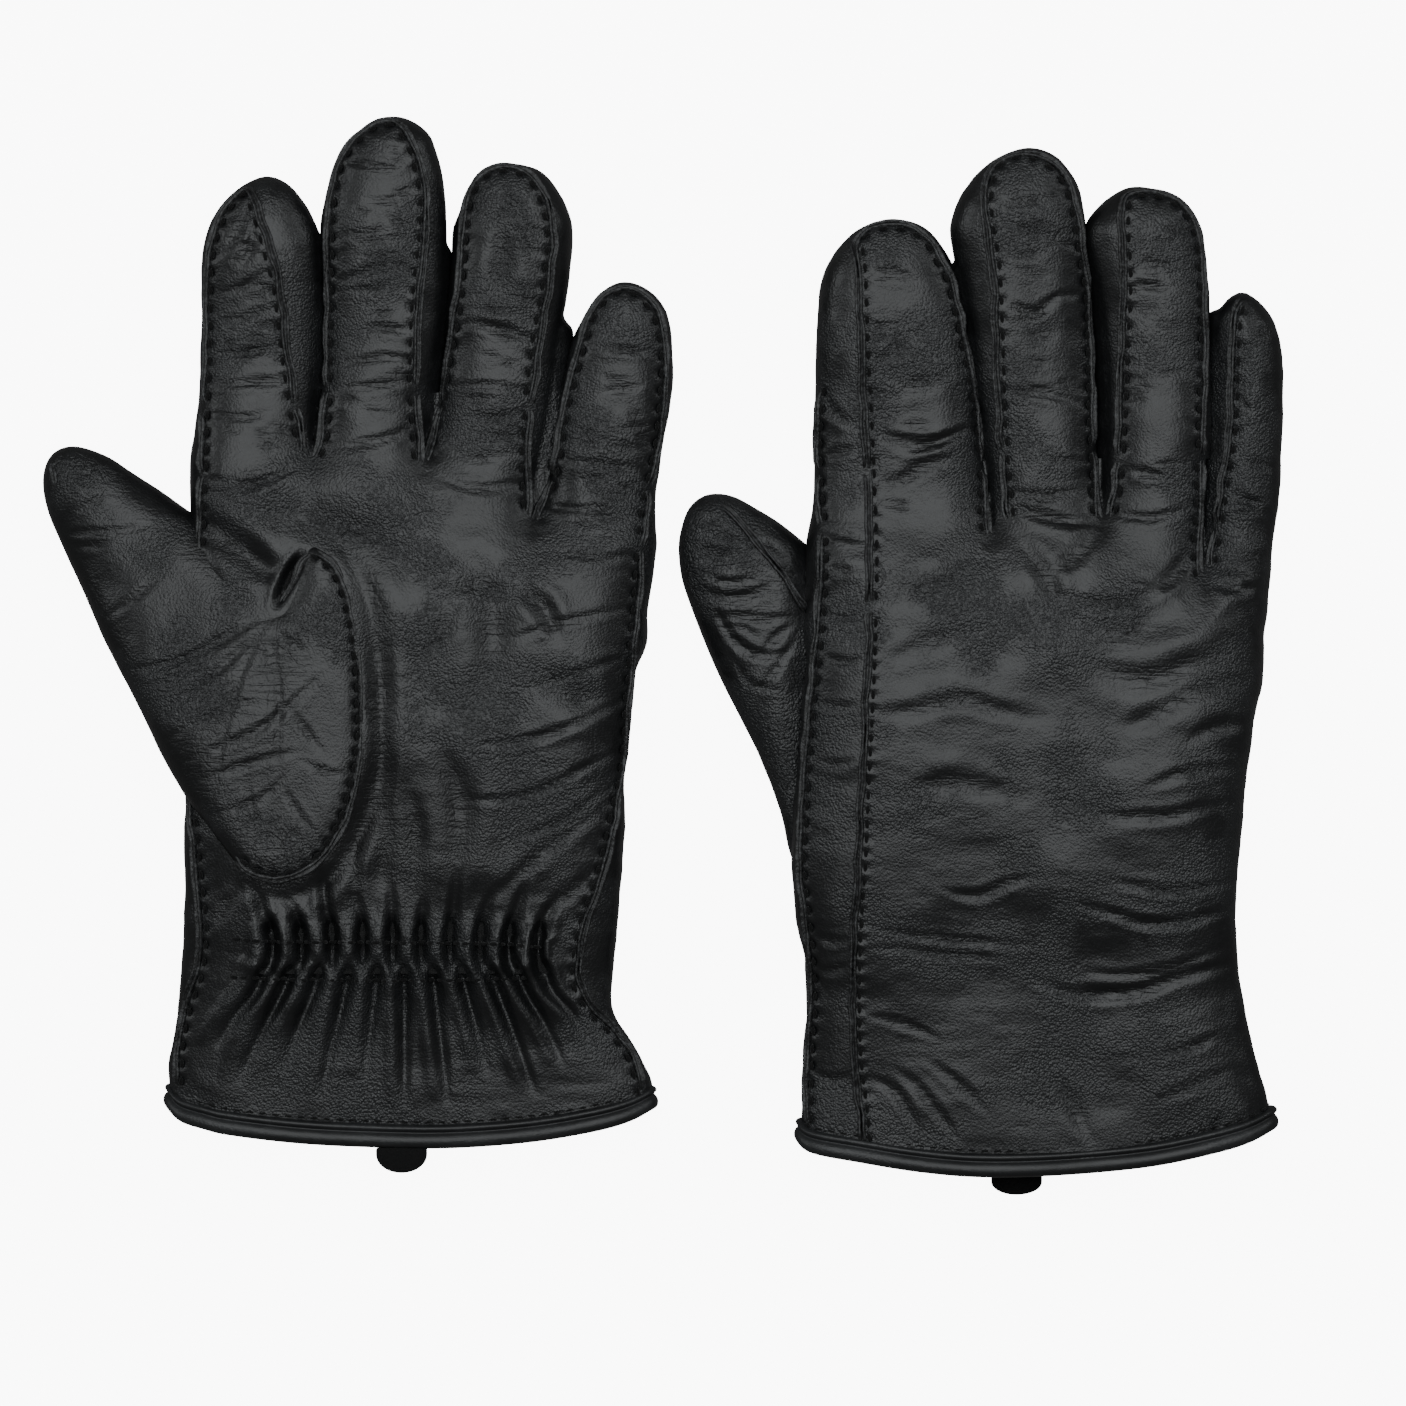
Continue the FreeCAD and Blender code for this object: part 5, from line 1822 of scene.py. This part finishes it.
def floor_level(plan: Array) -> Array:
    """Just above the floor everywhere."""
    return np.full(len(plan), 0.3)


def left_fingers() -> tuple[Finger, ...]:
    """The left glove's fingers, palm up."""
    fourchettes = ("front", "back", "fourchettes")
    return (
        Finger("index", [(-112.5, 18), (-114.6, 34), (-115.9, 50), (-115.6, 66), (-115.4, 84),
                         (-114.7, 98), (-113.4, 106.2), (-111.8, 109.8), (-109.5, 113.2),
                         (-105.2, 117), (-98.9, 119.6), (-93.4, 117.6), (-90, 113.2), (-88.2, 109.8),
                         (-86, 102.8), (-85.2, 90), (-85.6, 75), (-86.8, 60), (-88.2, 46.8),
               (-91.5, 32), (-94.5, 18)],
               (-100.5, 75), 0.0,
               ([(-115.1, 44), (-114.6, 60), (-113.9, 80), (-113.6, 96), (-112.4, 104),
                 (-109.8, 110.4), (-106.5, 114.6), (-103.2, 116.6), (-101.2, 112.5), (-99, 106),
                 (-97, 99), (-95.2, 92.5), (-93.8, 81.2), (-92.4, 70), (-90.6, 58.8), (-88.8, 50)],),
               ("front", "back", "sidewalls"), 18.6,
               [(-92, 50), (-90.5, 70), (-89.5, 92), (-89, 104), (-84.4, 103), (-83.6, 92),
                (-83.6, 75), (-84.9, 60), (-85.8, 47), (-87.2, 40)]),
        Finger("middle", [(-84, 18), (-86.2, 34), (-87.1, 46.8), (-86.2, 60), (-84.9, 75),
                          (-84.9, 92), (-84.8, 106.2), (-83.8, 116.8), (-82, 123.8), (-80, 127.2),
                          (-77, 130.8), (-72.2, 134.2), (-67.4, 135), (-63, 134), (-58.2, 130.8),
                          (-56.5, 127.2), (-54.6, 120), (-53.6, 110), (-53.4, 98), (-54.4, 84),
                          (-55.6, 74), (-57.5, 60), (-59.1, 46.8), (-61, 34), (-63, 18)],
               (-70.3, 79), 1.2,
               ([(-87.2, 48.2), (-85, 54.4), (-84, 66), (-83.6, 80), (-83.5, 94.7), (-83.3, 108),
                 (-82.2, 118.2), (-79.8, 124.8), (-76.5, 129), (-72, 132.6), (-67.6, 133.4),
                 (-64.8, 132), (-61.6, 127), (-60, 122), (-58.6, 114.5), (-59, 104), (-60, 94.7),
                 (-60.8, 84), (-61.2, 72.7), (-61, 60), (-60.4, 50.7), (-59.6, 47)],),
               ("front", "back", "fourchettes"), 18.6,
               [(-63, 42), (-60.5, 62), (-59, 80), (-58, 100), (-52.7, 102), (-52.2, 96),
                (-52.6, 88), (-53.5, 75), (-55.2, 60), (-57, 46), (-57.8, 38)]),
        Finger("ring", [(-55.5, 16), (-57.3, 32), (-58.3, 46.8), (-56.5, 60), (-54.8, 75),
                        (-53.9, 88), (-53.2, 100), (-52.8, 106.2), (-51.5, 109.8), (-50.2, 113.2),
                        (-48.8, 116.8), (-45.6, 120.6), (-38.6, 123), (-32.4, 121.9), (-29.6, 120.2),
                        (-27, 116.8), (-25, 113.2), (-23.2, 107), (-23.3, 96), (-24.2, 85.2),
                        (-26, 72), (-29.2, 56), (-32, 42), (-33, 32), (-35.5, 16)],
               (-40.2, 75), 3.0,
               ([(-59.4, 47.6), (-56, 59.5), (-53.8, 72.7), (-51.6, 87.4), (-50.6, 98), (-50, 106),
                 (-48.4, 114.4), (-46, 119), (-42.4, 121.2), (-37.7, 121.8), (-32.2, 119.6),
                 (-28.4, 113), (-26.9, 104), (-27.9, 93.3), (-30.2, 80), (-31.6, 70), (-32.9, 58),
                 (-33.6, 44), (-33, 33.6)],),
               fourchettes, 18.6,
               [(-37, 32), (-32, 52), (-29, 70), (-28, 84), (-22.4, 82.5), (-22, 78),
                (-23.4, 67.8), (-24.6, 58), (-26.2, 46.8), (-27.6, 33), (-29, 26)]),
        Finger("little", [(-26.5, 4), (-28.2, 18), (-29.4, 32), (-28, 46.8), (-26.4, 58), (-25.2, 67.8),
                          (-23.2, 78.2), (-21.2, 82.4), (-19.2, 85.6), (-16.8, 89), (-12.8, 92.4),
                          (-8.8, 93.4), (-4.6, 92), (-1, 88.8), (1, 85.2), (2.3, 79), (2.7, 67.8),
                          (1.6, 57), (0, 48), (-1.8, 39.8), (-3.2, 25.8), (-5.4, 12), (-8, 2)],
               (-12.6, 55.5), 6.0,
               ([(-32.2, 32.6), (-27.4, 44.8), (-24.5, 61.7), (-20.8, 76.4), (-19, 82.4),
                 (-16.6, 87.2), (-12.8, 90.8), (-8.4, 91.8), (-4, 89.4), (-0.6, 84.4), (0.9, 77),
                 (0.8, 67), (-0.2, 57), (-1.8, 47), (-3.6, 38), (-4.8, 26)],),
               fourchettes),
    )


def right_fingers() -> tuple[Finger, ...]:
    """The right glove's fingers, back up."""
    fourchettes = ("front", "back", "fourchettes")
    return (
        Finger("index", [(40, 2), (38.8, 16), (38.3, 30), (37.8, 46.8), (38, 60.8), (38.8, 74.8),
                         (39.4, 88.8), (41, 95.8), (42.8, 99.2), (45.5, 102.8), (50.2, 106.4),
                         (56.8, 108.4), (62, 107.8), (65.8, 106), (69, 102.6), (71.4, 98.4),
                         (74.4, 90), (77, 76), (79.2, 60), (80.8, 45), (82, 30), (80.5, 14), (77, 2)],
               (59.2, 59), -1.6,
               ([(39.4, 31.6), (38.9, 44), (38.9, 56), (39.4, 67)],
                [(51.5, 12), (51.8, 25.1), (51.3, 41.7), (50.6, 58.3), (49.6, 77.4), (49, 95.6),
                 (48.4, 102.6), (50.6, 105.8), (54, 107.2), (58.5, 107.5), (63.5, 106.2),
                 (67.8, 102.4), (70.4, 97.4), (72.6, 93.1), (75.7, 79), (78.2, 65.7), (79.9, 50),
                 (80.9, 34), (82.4, 29.2)]),
               ("front", "back", "sidewalls")),
        Finger("middle", [(87, 4), (85, 16), (83.4, 28.8), (81.6, 45), (79.9, 60), (77.7, 78),
                          (75.2, 94), (73.2, 102.5), (72.9, 107), (74.5, 113.2), (76.5, 116.8),
                          (79, 120.4), (83.4, 124), (90, 126.3), (94.6, 125.9), (98.8, 123.8),
                          (102, 120.2), (103.8, 116.8), (105, 111), (106.4, 100), (108, 84),
                          (109, 66), (109.2, 50), (109.2, 30), (108, 16), (106, 4)],
               (94.5, 64), -1.5,
               ([(86.2, 32.8), (85, 45.9), (83.9, 62.4), (83.3, 79), (82.5, 95.6), (80.9, 107),
                 (80.3, 114), (81.5, 119.8), (83.6, 122.8), (88, 125.1), (93.6, 124.7), (98.6, 121.9),
                 (101.8, 117.2), (103.6, 111), (105.2, 101), (106.5, 90), (107.3, 70.7),
                 (107.8, 54.1), (108.6, 39.2), (109.6, 33)],),
               fourchettes, 18.6,
               [(88, 24), (86, 45), (84, 62), (82, 80), (79, 96), (72.6, 97), (73.4, 90),
                (75.8, 76), (78, 60), (79.6, 45), (80.8, 30), (81.6, 20)]),
        Finger("ring", [(113, 2), (111.8, 16), (110.8, 30), (110.4, 46), (110.3, 62), (109.4, 78),
                        (107.6, 94), (106, 103), (106.2, 107), (108.2, 110.4), (111.6, 113.8),
                        (115.8, 116.6), (120.6, 117.2), (127, 115.8), (131.8, 112.8), (134.2, 109.6),
                        (136, 105), (137, 97), (137.4, 80), (137.3, 60), (136.2, 44), (135, 28),
               (133.5, 14), (131, 2)],
               (124, 62), -0.6,
               ([(111, 33.8), (113, 41.7), (114, 58.3), (114.5, 74.9), (115.2, 91.4), (114.7, 104),
                 (114.6, 110.6), (115.8, 114.6), (120.6, 115.8), (126.4, 114.6), (130.8, 111.4),
                 (133.8, 106), (135.2, 96), (135.6, 82), (135.5, 68), (135.1, 54.1), (134.4, 37.6),
                 (133.8, 25.1), (134.8, 19.4)],),
               fourchettes, 18.6,
               [(114.5, 24), (114, 45), (114, 65), (113, 84), (111, 101), (105.2, 101),
                (106.3, 86), (107.5, 66), (107.8, 50), (107.8, 30), (108, 20)]),
        Finger("little", [(138.5, -8), (137, 6), (136.3, 18.8), (136.2, 28.8), (137.4, 45),
                          (138.6, 60.8), (138.4, 74.8), (138, 81.8), (138.8, 85.6), (141.2, 89.2),
                          (145, 91.2), (148.8, 89.2), (152, 85.4), (153.6, 81.8), (155, 74.8),
                          (155.4, 60.8), (154.6, 46.8), (153.2, 32.8), (151.4, 22), (149.4, 8),
               (147, -8)],
               (145.9, 45), 1.2,
               ([(136.2, 21.4), (138.1, 31.8), (140.2, 45.9), (141.8, 58.3), (142.3, 74.9), (142.8, 84),
                 (144.4, 88.6), (146.6, 89.4)],),
               fourchettes, 17.6,
               [(140, 14), (141, 30), (142.5, 50), (143, 70), (142.6, 84), (138, 86.5),
                (135.9, 84), (136.2, 70), (136.1, 58), (135, 44), (133.8, 28), (133.4, 16)]),
    )


def left_glove(finishes: Finishes, stitcher: Stitcher, shift: Array) -> Glove:
    """The left glove, palm up."""
    outline = [(-123.2, -150), (-123.2, -130), (-123.4, -110), (-123.6, -102.2), (-122.2, -95.2),
               (-120.8, -81.2), (-119.6, -64), (-119.5, -46.2), (-118.6, -20), (-117.4, 10),
               (-116.0, 34), (-113.0, 49), (-100.0, 48.6), (-87.8, 48.0), (-73.0, 48.6),
               (-58.8, 48.0), (-45.0, 41.5), (-32.4, 33.8), (-18.0, 33.0), (-8.6, 30.0), (-7.6, 22.0),
               (-7.6, 8.0), (-7.4, -11.2), (-8.2, -25.2), (-9.4, -45.0), (-10.8, -67.2),
               (-12.2, -80.0), (-12.3, -88.2), (-9.0, -95.2), (-5.0, -102.2), (-2.6, -109.2),
               (-2.4, -130), (-2.4, -150)]
    back = [fold.shifted(-156.75, 7.5, Side.BOTTOM) for fold in BACK_FOLDS[16:]]
    fingers = left_fingers()
    strewn = [fold for index, finger in enumerate(fingers)
              for fold in small_creases(finger, Side.TOP, SEED + index, 16)
              + small_creases(finger, Side.BOTTOM, SEED + 10 + index, 14)]
    return Glove(
        Hand.LEFT, True, Tube(outline, 24.0, floor_level, hand_thickness, 2.6), fingers,
        Tube([(-150.6, 51.6), (-146.0, 52.3), (-139.6, 50.2), (-133.8, 46.6), (-128.6, 43.0),
              (-120.4, 37.4), (-112.0, 31.4), (-105.0, 25.6), (-100.4, 20.6), (-97.2, 15.4),
              (-96.0, 11.6), (-93.6, 14.6), (-91.0, 21.4), (-88.6, 26.6), (-86.4, 27.2),
              (-82.2, 23.6), (-78.6, 16.5), (-76.6, 8.0), (-74.9, -3.0), (-74.2, -12.0),
              (-74.2, -22.0), (-75.6, -32.2), (-78.6, -42.0), (-83.8, -50.4), (-90.6, -55.4),
              (-98.0, -56.2), (-103.6, -54.4), (-107.6, -50.2), (-113.0, -43.0), (-118.4, -36.0),
              (-124.3, -25.4), (-131.2, -11.2), (-138.0, 1.6), (-145.2, 16.4), (-150.5, 28.4),
              (-153.8, 36.2), (-155.0, 43.2), (-153.6, 48.8)],
             left_thumb_rounding, left_thumb_low, left_thumb_high, 2.3),
        LEFT_HINGE,
        [(-123.4, -112.0), (-120.5, -115.6), (-114.0, -117.6), (-108.9, -118.8), (-92.3, -120.8),
         (-75.8, -121.8), (-55.0, -122.2), (-34.3, -120.8), (-17.7, -118.2), (-8.0, -115.6),
         (-2.4, -112.6)],
        PALM_FOLDS + wrist_gathers() + back + strewn, LEFT_THUMB_FOLDS,
        [Seam([(-121.6, -109.0), (-121.0, -97.7), (-118.9, -86.9), (-116.2, -78.6), (-115.2, -67.8),
               (-116.4, -53.7), (-117.6, -36.0), (-116.8, -8.0), (-115.9, 20.0), (-115.2, 46.0)]),
         Seam([(-4.8, 27.0), (-6.4, 8.0), (-8.2, -11.0), (-10.0, -30.0), (-12.4, -45.0),
               (-15.7, -58.7), (-18.6, -66.2), (-20.2, -73.6), (-20.6, -81.1), (-17.2, -87.7),
               (-11.9, -93.5), (-6.8, -101.0), (-4.4, -109.6)]),
         Seam([(-107.0, -112.0), (-107.4, -90.0), (-106.8, -60.0), (-105.6, -20.0), (-104.8, 12.0),
               (-105.4, 42.0)],
              Side.BOTTOM, 3.4)],
        [Seam([(-152.6, 40.4), (-151.6, 43.5), (-152.6, 47.2),
               (-151.0, 50.2)], Side.TOP, 3.0, 0.8, False),
         Seam([(-102.6, 20.8), (-100.2, 18.0), (-98.8, 14.4), (-98.4, 11.6),
               (-97.0, 9.6)], Side.TOP, 3.0, 1.7, False),
         Seam([(-95.6, 10.0), (-93.6, 13.6), (-91.2, 18.8), (-89.4, 23.0),
               (-87.6, 26.0)], Side.TOP, 2.6, 1.3, False),
         Seam([(-87.4, 26.6), (-82.6, 23.2), (-79.0, 16.5), (-77.0, 8.0), (-75.4, -3.0), (-74.8, -12.0),
               (-74.8, -22.0), (-76.2, -32.0), (-79.2, -41.6), (-84.2, -49.8), (-90.8, -54.6),
               (-98.0, -55.4), (-103.2, -53.6), (-106.8, -50.0)], Side.TOP, 4.0, 1.1)],
        [(points, Side.TOP) for points in gathered_rows()],
        (-109.0, -27.0, -74.5), finishes, stitcher, shift, 100)


def right_glove(finishes: Finishes, stitcher: Stitcher, shift: Array) -> Glove:
    """The right glove, back up."""
    outline = [(34.2, -158), (34.2, -140), (34.4, -124), (34.8, -108), (35.2, -95.2), (36.2, -84.0),
               (35.4, -76.0), (33.4, -67.2), (32.6, -60.2), (31.6, -46.2), (33.4, -20), (35.8, 4),
               (38.0, 24), (42.0, 31.0), (62.0, 31.5), (82.6, 30.4), (96.0, 32.0), (110.2, 33.0),
               (123.0, 26.0), (135.6, 20.0), (141.0, 19.5), (146.0, 19.5), (147.2, 14.0),
               (148.2, 4.0), (148.9, -8.0), (147.8, -18.2), (146.0, -32.2), (144.6, -47.0),
               (143.8, -60.2), (143.4, -67.2), (144.2, -78.0), (145.8, -88.2), (148.6, -102.2),
               (150.8, -109.2), (152.4, -116.2), (153.0, -124), (153.0, -140), (153.0, -158)]
    palm = [fold.shifted(156.75, -7.5, Side.BOTTOM) for fold in PALM_FOLDS[35:46] + wrist_gathers()]
    fingers = right_fingers()
    strewn = [fold for index, finger in enumerate(fingers)
              for fold in small_creases(finger, Side.TOP, SEED + 20 + index, 14)
              + small_creases(finger, Side.BOTTOM, SEED + 30 + index, 14)]
    rows = [([(x + 156.75, y - 7.5) for x, y in points], Side.BOTTOM) for points in gathered_rows()]
    return Glove(
        Hand.RIGHT, False, Tube(outline, 24.0, floor_level, right_hand_thickness, 2.6), fingers,
        Tube([(13.0, 40.3), (9.4, 39.4), (6.4, 36.6), (4.8, 32.0), (4.2, 26.4), (5.6, 17.8), (10.2, 5.0),
              (17.0, -11.2), (24.0, -25.4), (29.0, -38.4), (32.0, -50.0), (36.0, -56.0), (43.0, -52.0),
              (49.0, -38.0), (51.0, -18.0), (50.0, 2.0), (45.0, 16.0), (38.6, 25.2), (33.6, 29.8),
              (28.8, 33.4), (23.2, 36.6), (17.6, 39.4)],
             14.0, floor_level, right_thumb_high, 2.3),
        RIGHT_HINGE,
        [(34.4, -120.6), (36.9, -123.4), (48.3, -125.6), (64.7, -128.2), (81.0, -129.4), (101.4, -128.8),
         (121.9, -126.8), (138.2, -123.4), (147.0, -120.8), (153.0, -117.6)],
        BACK_FOLDS + palm + strewn, RIGHT_THUMB_FOLDS,
        [Seam([(36.0, -118.6), (36.2, -108.0), (36.6, -97.0), (37.3, -83.9), (36.3, -71.7),
               (34.8, -59.4), (34.2, -50.8), (34.7, -41.0), (35.4, -29.0), (36.6, -13.8), (38.2, 1.3),
               (39.4, 19.5), (39.4, 31.6)]),
         Seam([(50.2, -123.0), (49.6, -115.0), (47.9, -100.3), (47.5, -83.9), (47.9, -67.6),
               (48.7, -56.2), (49.0, -50.8), (49.9, -29.0), (50.8, -10.8), (51.4, 2.0),
               (51.6, 12.4)], Side.TOP, 3.6),
         Seam([(148.0, -118.0), (143.0, -101.0), (138.0, -88.0), (137.0, -74.0), (141.0, -60.0),
               (144.0, -40.0), (146.5, -10.0), (147.5, 14.0)], Side.BOTTOM)],
        [Seam([(13.6, 38.0), (15.9, 36.2), (20.2, 32.2), (23.8, 28.0), (27.4, 23.1), (31.1, 18.9),
               (34.1, 14.0), (37.1, 9.2)], Side.TOP, 3.0, 1.0, False)],
        rows, (47.5, 129.5, -82.0), finishes, stitcher, shift, 200)


def studio() -> None:
    """The pale floor, soft lights and the camera straight above."""
    bench = Bench("pale_floor")
    tone = bench.noise(bench.place(), 0.01, 2.0)
    floor_finish = bench.finish({
        "Base Color": bench.mixed(tone, (0.93, 0.93, 0.93, 1.0), (0.95, 0.95, 0.95, 1.0)),
        "Roughness": 0.9, "Emission Color": (1.0, 1.0, 1.0, 1.0), "Emission Strength": 9.0,
    })
    reach = 9000.0
    corners = np.array([(-reach, -reach, 0.0), (reach, -reach, 0.0), (reach, reach, 0.0),
                        (-reach, reach, 0.0)])
    floor = make_object("floor", corners, [[0, 1, 2, 3]], floor_finish)
    floor.visible_diffuse = False
    floor.visible_glossy = False
    world = bpy.data.worlds.new("studio")
    world.use_nodes = True
    world.node_tree.nodes["Background"].inputs["Color"].default_value = (1.0, 1.0, 1.0, 1.0)
    world.node_tree.nodes["Background"].inputs["Strength"].default_value = 0.13
    bpy.context.scene.world = world
    lamps = (("sky_panel", (0.0, 0.45, 1.6), 1.5, 18.5), ("left_panel", (-1.6, 0.6, 0.9), 0.7, 5.0),
             ("right_panel", (1.5, 0.9, 0.9), 0.7, 4.5))
    for name, place, size, power in lamps:
        data = bpy.data.lights.new(name, "AREA")
        data.size = size
        data.energy = power
        data.color = (0.95, 0.985, 1.0)
        lamp = bpy.data.objects.new(name, data)
        lamp.location = place
        lamp.rotation_euler = (-Vector(place)).to_track_quat("-Z", "Y").to_euler()
        lamp.visible_camera = False
        bpy.context.scene.collection.objects.link(lamp)
    data = bpy.data.cameras.new("camera")
    data.sensor_width = 36.0
    data.lens = 256.0
    data.clip_end = 50.0
    camera = bpy.data.objects.new("camera", data)
    width, level = 0.3515, 0.012
    camera.location = (0.00993, -0.01114, level + width * data.lens / data.sensor_width)
    bpy.context.scene.collection.objects.link(camera)
    bpy.context.scene.camera = camera


def main() -> None:
    """Builds the pair around the frame."""
    logging.basicConfig(level=logging.INFO, format="%(message)s")
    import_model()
    low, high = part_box("left_pull_tab")
    other_low, other_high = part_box("right_pull_tab")
    shift = np.array([(low[0] + high[0]) / 2.0 / MM + 65.0, other_low[1] / MM + 135.45, 0.0])
    log.info("plan shift %s", shift)
    finishes = Finishes()
    stitcher = Stitcher(finishes.thread)
    studio()
    for make in (left_glove, right_glove):
        glove = make(finishes, stitcher, shift)
        glove.build()
        log.info("%s glove is built", glove.hand.value)


if __name__ == "__main__":
    main()
